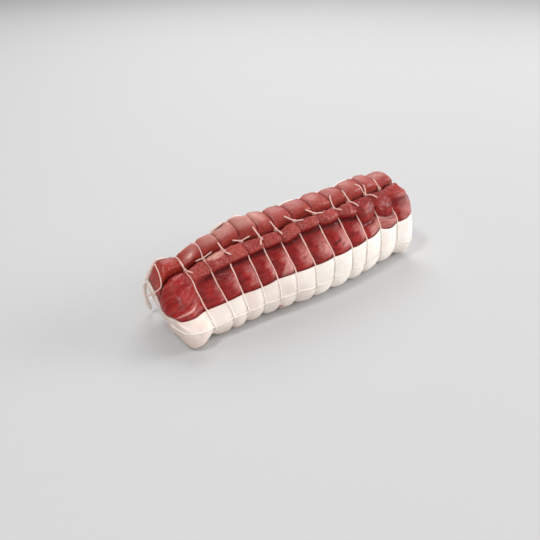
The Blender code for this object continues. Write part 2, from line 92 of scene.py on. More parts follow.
KNOTS = [(48.7, 52.4), (47.4, 58.5), (35.0, 66.2), (35.0, 70.0), (25.5, 71.0), (27.3, 74.2),
         (26.2, 76.8), (23.6, 78.6), (23.6, 76.9), (23.6, 78.4), (27.4, 76.6), (32.4, 74.9)]
TAILS = [
    [(-1.0, 8.6, 7.4), (2.4, -8.4, 0.0)],
    [(-6.9, 1.1, -1.0), (6.5, -4.0, 5.8)],
    [(-2.7, 5.4, 7.1), (2.0, -7.3, -1.1)],
    [(-7.7, 2.1, 2.5), (7.9, -1.8, 3.3)],
    [(-5.0, 6.5, 11.0), (-4.5, -5.0, -2.7)],
    [(-4.7, 3.2, 8.1), (1.2, -7.4, -2.2)],
    [(-10.2, 3.6, 6.4), (5.6, -4.9, 1.4)],
    [(-8.8, 3.5, 5.2), (6.5, -4.3, 0.6)],
    [(2.1, 9.3, 9.5), (3.6, -7.2, -3.4)],
    [(-2.9, 8.1, 9.6), (3.3, -9.9, -2.3)],
    [(-10.4, 5.7, 12.6), (1.2, 4.6, 9.2), (6.9, -10.1, -4.8)],
    [(-2.6, 8.5, 9.4)],
]
# The long string at the thin end: down across the back lobe to the groove, and round the front corner.
STRAND = [(-134.4, 64.5, 61.5), (-135.1, 60.9, 61.0), (-136.0, 53.7, 57.4), (-136.7, 48.6, 50.9), (-138.5, 48.2, 45.7), (-141.6, 50.5, 41.4)]
FRONT_END = [(-139.5, 44.0, 6.0), (-140.8, 38.0, 11.0), (-141.8, 32.0, 14.8), (-142.5, 25.0, 16.6), (-142.1, 14.0, 17.6), (-141.0, 5.0, 19.0), (-138.2, -2.6, 20.6), (-131.6, -5.3, 20.6), (-124.9, -4.6, 19.4)]


# ---- small tools --------------------------------------------------------------------
def smooth(a, b, v):
    u = np.clip((np.asarray(v, float) - a) / (b - a), 0, 1)
    return u * u * (3 - 2 * u)


def slopes(xs, values):
    step = np.diff(xs)
    rise = np.diff(values) / step
    out = np.zeros(len(xs))
    for i in range(1, len(xs) - 1):
        if rise[i - 1] * rise[i] > 0:
            w1, w2 = 2 * step[i] + step[i - 1], step[i] + 2 * step[i - 1]
            out[i] = (w1 + w2) / (w1 / rise[i - 1] + w2 / rise[i])
    return out


KEYS = list(SIZES)
GRID_X = np.array(STATION_X, float)
GRID_V = np.array([SIZES[k] for k in KEYS], float)
GRID_M = np.array([slopes(GRID_X, row) for row in GRID_V])


def sizes_at(x):
    x = min(max(x, GRID_X[0]), GRID_X[-1])
    i = min(int(np.searchsorted(GRID_X, x, side="right")) - 1, len(GRID_X) - 2)
    h = GRID_X[i + 1] - GRID_X[i]
    u = (x - GRID_X[i]) / h
    v = (
        GRID_V[:, i] * (2 * u**3 - 3 * u**2 + 1)
        + GRID_M[:, i] * h * (u**3 - 2 * u**2 + u)
        + GRID_V[:, i + 1] * (3 * u**2 - 2 * u**3)
        + GRID_M[:, i + 1] * h * (u**3 - u**2)
    )
    return dict(zip(KEYS, v))


def hash3(ix, iy, iz, seed):
    n = (ix * 374761393 + iy * 668265263 + iz * 2147483647 + seed * 1274126177) & 0x7FFFFFFF
    n = ((n ^ (n >> 13)) * 1103515245) & 0x7FFFFFFF
    n = (n ^ (n >> 16)) & 0x7FFFFFFF
    n = (n * 69069 + 1) & 0x7FFFFFFF
    return (n ^ (n >> 11)) % 65536 / 32767.5 - 1.0


def noise(p, seed=0):
    """Smooth value noise from -1 to 1 at points p (n, 3)."""
    p = np.asarray(p, float)
    i = np.floor(p).astype(np.int64)
    f = p - i
    f = f * f * f * (f * (f * 6 - 15) + 10)
    out = np.zeros(p.shape[:-1])
    for dx in (0, 1):
        for dy in (0, 1):
            for dz in (0, 1):
                w = (f[..., 0] if dx else 1 - f[..., 0]) * (f[..., 1] if dy else 1 - f[..., 1]) * (f[..., 2] if dz else 1 - f[..., 2])
                out += w * hash3(i[..., 0] + dx, i[..., 1] + dy, i[..., 2] + dz, seed)
    return out


def to_world(p):
    return (np.asarray(p, float) - ORIGIN) * MM


# ---- sections -----------------------------------------------------------------------
ENDS = [2 * LEFT_X - LOOP_X[0]] + LOOP_X + [2 * RIGHT_X - LOOP_X[-1]]


def segment_of(x):
    i = min(max(int(np.searchsorted(ENDS, x, side="right")) - 1, 0), len(ENDS) - 2)
    return i, (x - ENDS[i]) / (ENDS[i + 1] - ENDS[i])


def base_pillow(x):
    i, u = segment_of(x)
    return i, u, max(0.0, 1 - abs(2 * min(max(u, 0.0), 1.0) - 1) ** 2.6)


def places(x, pinch=None):
    """The named places of the section at x as (y, z)."""
    s = sizes_at(x)
    i, u, raw = base_pillow(x)
    if pinch is not None:
        raw = pinch
    b = raw ** 0.5
    r, rb = s["front_r"], s["back_r"]
    lift = BASE_NOTCH * max(0.0, 1 - 1.15 * b)
    front_start, back_start = s["belly_y"] + r, s["back_y"] - rb
    edge = np.array([s["edge_y"], s["edge_z"]])
    crease = np.array([s["crease_y"], s["crease_z"]])
    groove = np.array([s["groove_y"], s["groove_z"]])
    rim = np.array([s["rim_y"], s["rim_z"]])
    c = s["crease"]
    along = (crease - edge) / np.linalg.norm(crease - edge)
    out = np.array([-along[1], along[0]])
    down = CREASE_DROP[i] * raw**0.22
    fold = crease - along * down
    strip = crease + (groove - crease) * (0.58 - 0.04 * c) + np.array([0.0, 2.8 * c + 3.4 * (1 - c)])
    top = rim + np.array([-0.34 * (rim[0] - groove[0]), 0.055 * (rim[0] - groove[0]) + 1.4])
    pts = np.array([
        (0.5 * (front_start + back_start), lift),
        (front_start, lift),
        (s["belly_y"] + 0.29 * r, lift + 0.29 * r),
        (s["belly_y"], max(s["belly_z"], 0.9 * r + lift)),
        edge,
        edge + (fold - edge) * 0.5 + out * 0.5,
        fold - out * (0.5 + 1.7 * b) * max(c, min(down / 8, 0.9)),
        fold + (strip - fold) * 0.42 + np.array([-2.2, 1.4]) * c + np.array([-0.6, 1.6]) * (1 - c) + out * 0.16 * down,
        strip,
        groove + np.array([-1.6, -0.6]),
        groove + np.array([0.0, -6.5 - 1.5 * b]),
        groove + np.array([1.7, -1.6]),
        groove + (top - groove) * np.array([0.24, 0.62]),
        top,
        rim,
        (s["back_y"], 0.54 * s["rim_z"]),
        (s["back_y"] - 0.29 * rb, lift + 0.29 * rb),
        (back_start, lift),
    ])
    tangent = np.roll(pts, -1, axis=0) - np.roll(pts, 1, axis=0)
    tangent /= np.linalg.norm(tangent, axis=1)[:, None]
    normal = np.stack([-tangent[:, 1], tangent[:, 0]], 1)
    normal[10] = (0, 1)
    normal[9] = (-0.5, 0.86)
    normal[11] = (0.2, 0.98)
    swell = SW * PILLOW[i] * raw**SHARP + SB
    if i in (10, 11):
        swell[7:9] *= 0.72
    if i == 12:
        # The last pillow's front is one smooth lobe, with no crease.
        swell[6] += 2.6 * raw**0.65
    return pts + normal * swell[:, None], s


def curve(pts, t):
    """Points and outward normals at places t (array) on the closed outline through pts."""
    t = np.asarray(t, float) % 16
    n = len(TS)
    k = np.clip(np.searchsorted(TS, t, side="right") - 1, 0, n - 1)
    nxt = np.append(TS[1:], 16.0)
    u = ((t - TS[k]) / (nxt[k] - TS[k]))[:, None]
    p0, p1, p2, p3 = pts[(k - 1) % n], pts[k], pts[(k + 1) % n], pts[(k + 2) % n]
    d0 = np.maximum(np.linalg.norm(p1 - p0, axis=1), 1e-6)[:, None] ** 0.5
    d1 = np.maximum(np.linalg.norm(p2 - p1, axis=1), 1e-6)[:, None] ** 0.5
    d2 = np.maximum(np.linalg.norm(p3 - p2, axis=1), 1e-6)[:, None] ** 0.5
    m1 = ((p1 - p0) / d0 - (p2 - p0) / (d0 + d1) + (p2 - p1) / d1) * d1
    m2 = ((p2 - p1) / d1 - (p3 - p1) / (d1 + d2) + (p3 - p2) / d2) * d1
    p = p1 * (2 * u**3 - 3 * u**2 + 1) + m1 * (u**3 - 2 * u**2 + u) + p2 * (3 * u**2 - 2 * u**3) + m2 * (u**3 - u**2)
    s = p1 * (6 * u**2 - 6 * u) + m1 * (3 * u**2 - 4 * u + 1) + p2 * (6 * u - 6 * u**2) + m2 * (3 * u**2 - 2 * u)
    s /= np.maximum(np.linalg.norm(s, axis=1), 1e-9)[:, None]
    p = p.copy()
    p[:, 1] = np.maximum(p[:, 1], 0.0)
    return p, np.stack([-s[:, 1], s[:, 0]], 1)


def back_edge(x):
    i, u = segment_of(x)
    w = math.sin(math.pi * min(max(u, 0.0), 1.0)) ** 0.8
    high = 12 - (0.08 + (BACK_EDGE[i] - 0.08) * w)
    # It drops towards the lip of the thin end.
    return high + 1.15 * float(smooth(-127.0, LEFT_X, x))


def front_edge(x):
    i, u = segment_of(x)
    w = math.sin(math.pi * min(max(u, 0.0), 1.0)) ** 0.7
    skew = 1 - (0.45 if i == 10 else 0.05) * math.cos(math.pi * min(max(u, 0.0), 1.0))
    # It climbs towards the end of the last pillow.
    return 4.0 - FRONT_DIP[i] * w * skew / 26.0 + 0.34 * float(smooth(134.0, 158.0, x))


def ring(x, t, inner=0.0, shown=None, phi=0.0, lift=0.0):
    """Points (n, 3) of one ring. phi is 0 in the body and rises to pi/2 as an end closes.
    inner: depth below the outside; shown: True where the point is on the meat that shows."""
    t = np.asarray(t, float)
    inner = np.broadcast_to(np.asarray(inner, float), t.shape)
    pts, s = places(x)
    p, n = curve(pts, t)
    p = p - n * (inner - lift)[:, None]
    xs = np.full(len(t), float(x))
    left = x < 0
    shown = np.zeros(len(t), bool) if shown is None else shown
    dome = LEFT_X + 22.0
    if phi > 0 or (left and x < dome and shown.any()):
        ends = curve(pts, [front_edge(x), back_edge(x)])[0]
        chord = ends[1] - ends[0]
        w = np.clip((p - ends[0]) @ chord / (chord @ chord), 0, 1)
        open_ = math.cos(phi)
        turn = 1 - open_
        flank = smooth(-0.04, 0.32, w) * smooth(0.62, 0.42, w)
        rest = ends[0] + chord * w[:, None]
        if left:
            # The corners of the sheet round off towards each other, the back one most.
            draw = np.stack([np.full(len(t), 4.0 * turn), np.full(len(t), 4.8 * turn)])
            sag = 12.5 * 2.1 * w**1.25 * (1 - w) ** 0.9 + 5.0 * flank
            power = 4.0 - 2.1 * smooth(0.10, 0.5, w)
            u = math.sin(phi) ** (2 / power)
            xs = LEFT_X + LEFT_ROUND - (LEFT_ROUND - inner) * u if phi > 0 else xs
            # The muscles round off over a longer stretch than the sheet below them.
            near_x = LEFT_X + LEFT_ROUND - (LEFT_ROUND - 0.5) * math.sin(phi) ** (2 / 2.8) if phi > 0 else float(x)
            proud = 1.8 * flank - 1.5 * smooth(0.5, 0.85, w)
            xs = np.where(shown, near_x - proud * math.sin(phi), xs)
            reach = min(max((dome - near_x) / (dome - LEFT_X - 0.5), 0.0), 1.0)
            opened = np.where(shown, (1 - reach**2.3) ** (1 / 2.1), open_)
            draw[1] += np.where(shown, 4.6 * (1 - opened) * smooth(0.5, 0.8, w), 0)
        else:
            draw = np.stack([np.full(len(t), 2.5 * turn), np.full(len(t), 9.0 * turn)])
            sag = 8.5 * 4 * w * (1 - w)
            lobe = smooth(8.9, 9.3, t)
            power = np.where(shown, 3.3 - 0.2 * lobe, 2.4)
            depth = np.where(shown, -0.9 + 1.2 * lobe, inner)
            u = math.sin(phi) ** (2 / power)
            xs = RIGHT_X - RIGHT_ROUND + (RIGHT_ROUND - depth) * u
            opened = np.full(len(t), open_)
        rest[:, 1] -= sag
        on = rest + (chord / np.linalg.norm(chord)) * (draw[0] * (1 - w) - draw[1] * w)[:, None]
        on[:, 1] += np.where(shown, 1.4 * (1 - opened), 0)
        hidden = (~shown) & (inner > BARD_THICK + 0.05)
        on[hidden] += np.stack([1.2 * (1 - 2 * w[hidden]), np.full(hidden.sum(), -1.9)], 1) * (1 - open_)
        p = on + (p - rest) * opened[:, None]
    return np.column_stack([xs, p]), n


def stations(step):
    """(x, phi) of every ring: even steps, closer at each string, and the closing of both ends."""
    rows = []
    bounds = [LEFT_X + LEFT_ROUND] + LOOP_X + [RIGHT_X - RIGHT_ROUND]
    for k, (a, b) in enumerate(zip(bounds, bounds[1:])):
        n = max(int(round((b - a) / step)), 6)
        f = np.linspace(0, 1, n, endpoint=False)
        near_a, near_b = k > 0, k < len(bounds) - 2
        if near_a and near_b:
            f = f - 0.11 * np.sin(2 * np.pi * f)
        elif near_a:
            f = f - 0.16 * np.sin(np.pi * f)
        elif near_b:
            f = f + 0.16 * np.sin(np.pi * f)
        rows += [(a + (b - a) * v, 0.0) for v in f]
    rows.append((bounds[-1], 0.0))
    count = 22
    for j in range(1, count + 1):
        phi = math.pi / 2 * j / count * 0.9995
        rows.insert(0, (LEFT_X + LEFT_ROUND - LEFT_ROUND * 0.96 * math.sin(phi) ** (2 / 2.8), phi))
        rows.append((RIGHT_X - RIGHT_ROUND + RIGHT_ROUND * 0.96 * math.sin(phi) ** (2 / 2.8), phi))
    return rows


# ---- camera, light, floor ------------------------------------------------------------
scene = bpy.context.scene
right = Vector((0.7923, -0.6100, -0.0126)).normalized()
forward = Vector((0.5203, 0.6862, -0.5083)).normalized()
up = right.cross(forward).normalized()
right = forward.cross(up).normalized()
camera = bpy.data.objects.new("camera", bpy.data.cameras.new("camera"))
scene.collection.objects.link(camera)
place = Vector((-0.3529, -0.4019, 0.3503)) - Vector(ORIGIN * MM)
camera.matrix_world = Matrix.Translation(place) @ Matrix((right, up, -forward)).transposed().to_4x4()
camera.data.sensor_fit = "HORIZONTAL"
camera.data.sensor_width = 36.0
camera.data.lens = 41.466
camera.data.clip_start = 0.01
scene.camera = camera


def area(name, place, target, size, power, colour=(1, 1, 1)):
    data = bpy.data.lights.new(name, "AREA")
    data.shape = "RECTANGLE"
    data.size, data.size_y = size
    data.energy = power
    data.color = colour
    lamp = bpy.data.objects.new(name, data)
    scene.collection.objects.link(lamp)
    lamp.location = place
    lamp.rotation_euler = (Vector(target) - Vector(place)).to_track_quat("-Z", "Y").to_euler()
    return lamp


area("right_window", (2.20, -0.95, 0.75), (0, 0, 0.05), (1.4, 1.0), 49.0)
area("back_window", (1.00, 1.55, 1.70), (0, 0, 0.05), (1.6, 1.2), 31.0)
area("left_top", (-1.25, 0.00, 2.15), (0, 0, 0.05), (0.42, 0.42), 22.0)
area("front_fill", (-0.90, -2.10, 1.00), (0, 0, 0.03), (2.0, 2.0), 19.0)

world = bpy.data.worlds.new("studio")
scene.world = world
world.use_nodes = True
world.node_tree.nodes["Background"].inputs["Color"].default_value = (1, 1, 1, 1)
world.node_tree.nodes["Background"].inputs["Strength"].default_value = 0.46
scene.view_settings.view_transform = "Standard"

floor_mesh = bpy.data.meshes.new("floor")
floor_mesh.from_pydata([(-30, -30, 0), (30, -30, 0), (30, 30, 0), (-30, 30, 0)], [], [(0, 1, 2, 3)])
floor = bpy.data.objects.new("floor", floor_mesh)
scene.collection.objects.link(floor)


# ---- materials -------------------------------------------------------------------------
class Shade:
    """A material and short ways to add its nodes."""

    def __init__(self, name):
        self.mat = bpy.data.materials.new(name)
        self.mat.use_nodes = True
        self.tree = self.mat.node_tree
        self.main = self.tree.nodes["Principled BSDF"]

    def node(self, kind, **inputs):
        made = self.tree.nodes.new(kind)
        for key, value in inputs.items():
            self.put(made.inputs[key.replace("_", " ")], value)
        return made

    def put(self, socket, value):
        if isinstance(value, bpy.types.NodeSocket):
            self.tree.links.new(value, socket)
        elif isinstance(value, (tuple, list)) and len(value) == 3 and socket.type == "RGBA":
            socket.default_value = (*value, 1)
        else:
            socket.default_value = value

    def math(self, op, a, b=0.0, c=None):
        made = self.tree.nodes.new("ShaderNodeMath")
        made.operation = op
        self.put(made.inputs[0], a)
        self.put(made.inputs[1], b)
        if c is not None:
            self.put(made.inputs[2], c)
        return made.outputs[0]

    def ramp(self, v, lo, hi, a=0.0, b=1.0):
        made = self.tree.nodes.new("ShaderNodeMapRange")
        made.interpolation_type = "SMOOTHSTEP"
        for key, value in (("Value", v), ("From Min", lo), ("From Max", hi), ("To Min", a), ("To Max", b)):
            self.put(made.inputs[key], value)
        return made.outputs["Result"]

    def mix(self, f, a, b, kind="MIX"):
        made = self.tree.nodes.new("ShaderNodeMix")
        made.data_type = "RGBA"
        made.blend_type = kind
        self.put(made.inputs["Factor"], f)
        self.put(made.inputs["A"], a)
        self.put(made.inputs["B"], b)
        return made.outputs["Result"]

    def coords(self, scale, turn=0.0, name="grain"):
        """The mesh's own length-and-girth map, in centimetres, turned and scaled."""
        uv = self.tree.nodes.new("ShaderNodeUVMap")
        uv.uv_map = name
        mapping = self.tree.nodes.new("ShaderNodeMapping")
        mapping.vector_type = "TEXTURE"
        mapping.inputs["Rotation"].default_value = (0, 0, turn)
        mapping.inputs["Scale"].default_value = scale
        self.tree.links.new(uv.outputs["UV"], mapping.inputs["Vector"])
        return mapping.outputs["Vector"]

    def noise(self, vector, scale, detail=3.0, rough=0.55, distort=0.0):
        made = self.node("ShaderNodeTexNoise", Vector=vector, Scale=scale, Detail=detail, Roughness=rough, Distortion=distort)
        return made.outputs["Fac"]

    def paint(self, name):
        made = self.tree.nodes.new("ShaderNodeAttribute")
        made.attribute_name = name
        split = self.tree.nodes.new("ShaderNodeSeparateColor")
        self.tree.links.new(made.outputs["Color"], split.inputs["Color"])
        return split.outputs["Red"], split.outputs["Green"], split.outputs["Blue"]

    def bump(self, height, distance, strength=1.0):
        made = self.node("ShaderNodeBump", Height=height, Distance=distance, Strength=strength)
        self.tree.links.new(made.outputs["Normal"], self.main.inputs["Normal"])


def front_meat_material():
    m = Shade("meat_front_look")
    pale, deep, painted_sheen = m.paint("paint")
    fat, strip, thin = m.paint("paint2")
    along = m.coords((1.5, 0.19, 1), math.radians(7))
    across = m.coords((1.3, 0.18, 1), math.radians(24))
    fine = m.coords((0.55, 0.075, 1), math.radians(9))
    streak_a = m.noise(along, 1.0, 4.0, 0.62, 0.5)
    streak_b = m.noise(across, 1.0, 4.0, 0.62, 0.5)
    streak = m.math("ADD", m.math("MULTIPLY", streak_a, m.math("SUBTRACT", 1.0, thin)), m.math("MULTIPLY", streak_b, thin))
    hair = m.noise(fine, 1.0, 2.0, 0.6, 0.3)
    patch = m.noise(m.coords((0.62, 0.45, 1)), 1.0, 4.0, 0.62, 0.5)
    dots = m.noise(m.coords((0.17, 0.15, 1)), 1.0, 3.0, 0.65, 0.3)
    base = m.mix(m.ramp(streak, 0.30, 0.70), (0.165, 0.005, 0.006), (0.330, 0.017, 0.015))
    base = m.mix(m.math("MULTIPLY", m.ramp(patch, 0.38, 0.66), 0.60), base, (0.365, 0.026, 0.021))
    base = m.mix(m.math("MULTIPLY", m.ramp(patch, 0.50, 0.34), 0.35), base, (0.120, 0.003, 0.004))
    base = m.mix(m.math("MULTIPLY", m.ramp(hair, 0.54, 0.74), 0.28), base, (0.40, 0.075, 0.062))
    # Painted sheen: a pale pink wash over one side of each pillow, broken up along the fibres.
    sheen_streaks = m.math("MULTIPLY", painted_sheen, m.ramp(streak, 0.28, 0.60, 0.45, 1.0))
    base = m.mix(sheen_streaks, base, m.mix(m.ramp(dots, 0.35, 0.65), (0.415, 0.120, 0.105), (0.550, 0.245, 0.220)))
    mince = m.mix(m.ramp(dots, 0.32, 0.68), (0.265, 0.024, 0.019), (0.470, 0.115, 0.095))
    mince = m.mix(m.math("MULTIPLY", m.ramp(dots, 0.58, 0.72), 0.4), mince, (0.52, 0.20, 0.165))
    base = m.mix(strip, base, mince)
    # Painted shade: near-black red in the creases, the groove, beside the strings and along the fat's edge.
    base = m.mix(deep, base, (0.085, 0.003, 0.003))
    base = m.mix(m.math("MULTIPLY", pale, m.ramp(hair, 0.2, 0.6, 0.75, 1.0)), base, (0.575, 0.285, 0.250))
    base = m.mix(m.math("MULTIPLY", fat, m.ramp(dots, 0.30, 0.60, 0.40, 1.0)), base, (0.82, 0.440, 0.360))
    m.put(m.main.inputs["Base Color"], base)
    dry = m.ramp(m.math("ADD", m.math("MULTIPLY", patch, 0.5), m.math("MULTIPLY", hair, 0.5)), 0.3, 0.7, 0.32, 0.50)
    m.put(m.main.inputs["Roughness"], m.math("MULTIPLY", dry, m.math("SUBTRACT", 1.0, m.math("MULTIPLY", thin, 0.38))))
    m.main.inputs["Specular IOR Level"].default_value = 0.13
    m.main.inputs["Coat Weight"].default_value = 0.09
    m.main.inputs["Coat Roughness"].default_value = 0.11
    m.bump(m.math("ADD", m.math("MULTIPLY", streak, 0.6), m.math("MULTIPLY", m.math("ADD", dots, hair), 0.3)), 0.0009, 0.8)
    return m.mat


def back_meat_material():
    m = Shade("meat_back_look")
    pale, deep, painted_sheen = m.paint("paint")
    fat, red, wet = m.paint("paint2")
    dots = m.noise(m.coords((0.12, 0.12, 1)), 1.0, 3.0, 0.68, 0.2)
    patch = m.noise(m.coords((0.7, 0.7, 1)), 1.0, 4.0, 0.62, 0.5)
    streak = m.noise(m.coords((0.75, 0.13, 1), math.radians(-62)), 1.0, 3.0, 0.62, 0.4)
    base = m.mix(m.ramp(patch, 0.33, 0.67), (0.250, 0.026, 0.020), (0.350, 0.056, 0.045))
    base = m.mix(m.math("MULTIPLY", m.ramp(streak, 0.50, 0.72), 0.30), base, (0.48, 0.115, 0.092))
    base = m.mix(m.math("MULTIPLY", m.ramp(dots, 0.52, 0.40), 0.35), base, (0.225, 0.018, 0.014))
    # Painted sheen: a pinkish grey wash on the tops of the back lobes.
    sheen_tint = m.mix(m.ramp(dots, 0.38, 0.64), (0.330, 0.066, 0.055), (0.540, 0.195, 0.170))
    base = m.mix(painted_sheen, base, sheen_tint)
    base = m.mix(red, base, m.mix(m.ramp(dots, 0.3, 0.7), (0.235, 0.012, 0.009), (0.400, 0.048, 0.032)))
    # Painted shade in the groove and in the clefts beside the strings.
    base = m.mix(deep, base, (0.090, 0.004, 0.004))
    # Painted sheen and a painted highlight: paler pink on the back lobes towards the thin end.
    base = m.mix(pale, base, (0.56, 0.27, 0.23))
    m.put(m.main.inputs["Base Color"], base)
    m.put(m.main.inputs["Roughness"], m.ramp(m.math("SUBTRACT", dots, m.math("MULTIPLY", wet, 0.6)), -0.3, 0.65, 0.24, 0.50))
    m.main.inputs["Specular IOR Level"].default_value = 0.22
    m.main.inputs["Coat Weight"].default_value = 0.12
    m.main.inputs["Coat Roughness"].default_value = 0.16
    m.bump(m.math("ADD", m.math("MULTIPLY", dots, 0.6), m.math("MULTIPLY", streak, 0.4)), 0.0007, 0.8)
    return m.mat


def fat_material():
    m = Shade("bard_look")
    blush, shade, stain = m.paint("paint")
    cloud = m.noise(m.coords((1.4, 1.4, 1)), 1.0, 3.0, 0.55, 0.4)
    grain = m.noise(m.coords((0.12, 0.12, 1)), 1.0, 3.0, 0.6)
    base = m.mix(m.ramp(cloud, 0.32, 0.68), (0.865, 0.790, 0.725), (0.925, 0.870, 0.815))
    base = m.mix(m.math("MULTIPLY", m.ramp(grain, 0.45, 0.7), 0.25), base, (0.86, 0.765, 0.69))
    base = m.mix(shade, base, (0.70, 0.565, 0.500))
    base = m.mix(blush, base, (0.70, 0.335, 0.285))
    base = m.mix(stain, base, (0.40, 0.060, 0.045))
    m.put(m.main.inputs["Base Color"], base)
    m.main.inputs["Roughness"].default_value = 0.48
    m.main.inputs["Specular IOR Level"].default_value = 0.4
    m.main.inputs["Subsurface Weight"].default_value = 0.12
    m.main.inputs["Subsurface Radius"].default_value = (0.004, 0.002, 0.0015)
    m.main.inputs["Subsurface Scale"].default_value = 1.0
    m.bump(m.math("ADD", cloud, m.math("MULTIPLY", grain, 0.35)), 0.0007, 0.6)
    return m.mat


def twine_material(name, on_meat, on_fat):
    m = Shade(name)
    wet, x, y = m.paint("paint")
    fuzz = m.noise(m.coords((0.25, 0.25, 1)), 1.0, 2.0, 0.6)
    base = m.mix(wet, on_fat, on_meat)
    base = m.mix(m.math("MULTIPLY", m.ramp(fuzz, 0.4, 0.7), 0.3), base, tuple(0.82 * v for v in on_meat))
    m.put(m.main.inputs["Base Color"], base)
    m.main.inputs["Roughness"].default_value = 0.72
    m.main.inputs["Sheen Weight"].default_value = 0.15
    m.bump(fuzz, 0.0002, 0.7)
    return m.mat


FRONT_LOOK = front_meat_material()
BACK_LOOK = back_meat_material()
FAT_LOOK = fat_material()
TWINE_LOOK = twine_material("twine_look", (0.80, 0.50, 0.44), (0.90, 0.83, 0.76))

pale_floor = Shade("floor_look")
pale_floor.main.inputs["Base Color"].default_value = (0.50, 0.50, 0.50, 1)
pale_floor.main.inputs["Roughness"].default_value = 0.7
floor.data.materials.append(pale_floor.mat)


# ---- mesh building -----------------------------------------------------------------------
def build(name, verts, quads, tris, mat, uv=None, paint=None, paint2=None):
    """verts in mm (n, 3); quads (m, 4) and tris (k, 3) of indices."""
    verts = np.asarray(verts, float)
    mesh = bpy.data.meshes.new(name)
    quads = np.asarray(quads, np.int32).reshape(-1, 4)
    tris = np.asarray(tris, np.int32).reshape(-1, 3)
    # Faces look outwards: the enclosed volume is positive.
    fans = np.vstack([quads[:, [0, 1, 2]], quads[:, [0, 2, 3]], tris])
    middle = verts - verts.mean(axis=0)
    a, b, c = middle[fans[:, 0]], middle[fans[:, 1]], middle[fans[:, 2]]
    if (a * np.cross(b, c)).sum() < 0:
        quads, tris = quads[:, ::-1], tris[:, ::-1]
    mesh.vertices.add(len(verts))
    mesh.vertices.foreach_set("co", to_world(verts).astype(np.float32).ravel())
    loops = np.concatenate([quads.ravel(), tris.ravel()])
    mesh.loops.add(len(loops))
    mesh.loops.foreach_set("vertex_index", loops)
    starts = np.concatenate([np.arange(len(quads)) * 4, len(quads) * 4 + np.arange(len(tris)) * 3])
    mesh.polygons.add(len(starts))
    mesh.polygons.foreach_set("loop_start", starts.astype(np.int32))
    mesh.update(calc_edges=True)
    mesh.validate()
    uvs = mesh.uv_layers.new(name="grain")
    if uv is None:
        uv = verts[:, :2] / 10
    uvs.data.foreach_set("uv", np.asarray(uv, float)[loops].astype(np.float32).ravel())
    for key, values in (("paint", paint), ("paint2", paint2)):
        if values is not None:
            layer = mesh.color_attributes.new(key, "FLOAT_COLOR", "POINT")
            rgba = np.ones((len(verts), 4), np.float32)
            rgba[:, :3] = np.clip(values, 0, 1)
            layer.data.foreach_set("color", rgba.ravel())
    mesh.shade_smooth()
    obj = bpy.data.objects.new(name, mesh)
    obj.data.materials.append(mat)
    scene.collection.objects.link(obj)
    return obj


def grid_faces(rows, cols, wrap):
    i = np.arange(rows - 1)[:, None]
    j = np.arange(cols if wrap else cols - 1)[None, :]
    a = i * cols + j
    b = i * cols + (j + 1) % cols
    return np.stack([a, a + cols, b + cols, b], -1).reshape(-1, 4)


STEP = 0.62
ROWS = stations(STEP)


def spread(knots, counts):
    """Places between the named ones, evenly within each stretch."""
    out = []
    for a, b, n in zip(knots, knots[1:], counts):
        out += list(np.linspace(a, b, n, endpoint=False))
    return np.array(out + [knots[-1]])


def girth(points):
    d = np.linalg.norm(np.diff(points, axis=1), axis=2)
    return np.concatenate([np.zeros((len(points), 1)), np.cumsum(d, axis=1)], axis=1)


def pillow_u(x):
    i, u = segment_of(x)
    return i, min(max(u, 0.0), 1.0)


def oval(x, s, centre, size, turn, soft=0.35):
    """Mask of an oval patch on the length-and-girth map."""
    c, n = math.cos(turn), math.sin(turn)
    a = ((x - centre[0]) * c + (s - centre[1]) * n) / size[0]
    b = (-(x - centre[0]) * n + (s - centre[1]) * c) / size[1]
    return 1 - smooth(1 - soft, 1 + soft, np.sqrt(a * a + b * b))


def polygon(x, s, corners, soft):
    """Mask of a convex polygon (corners clockwise or not) with a soft edge in mm."""
    corners = np.array(corners, float)
    mid = corners.mean(axis=0)
    inside = np.full(np.shape(x), 1e9)
    for a, b in zip(corners, np.roll(corners, -1, axis=0)):
        n = np.array([-(b - a)[1], (b - a)[0]]) / np.linalg.norm(b - a)
        if (mid - a) @ n < 0:
            n = -n
        inside = np.minimum(inside, (x - a[0]) * n[0] + (s - a[1]) * n[1])
    return smooth(-soft, soft, inside)


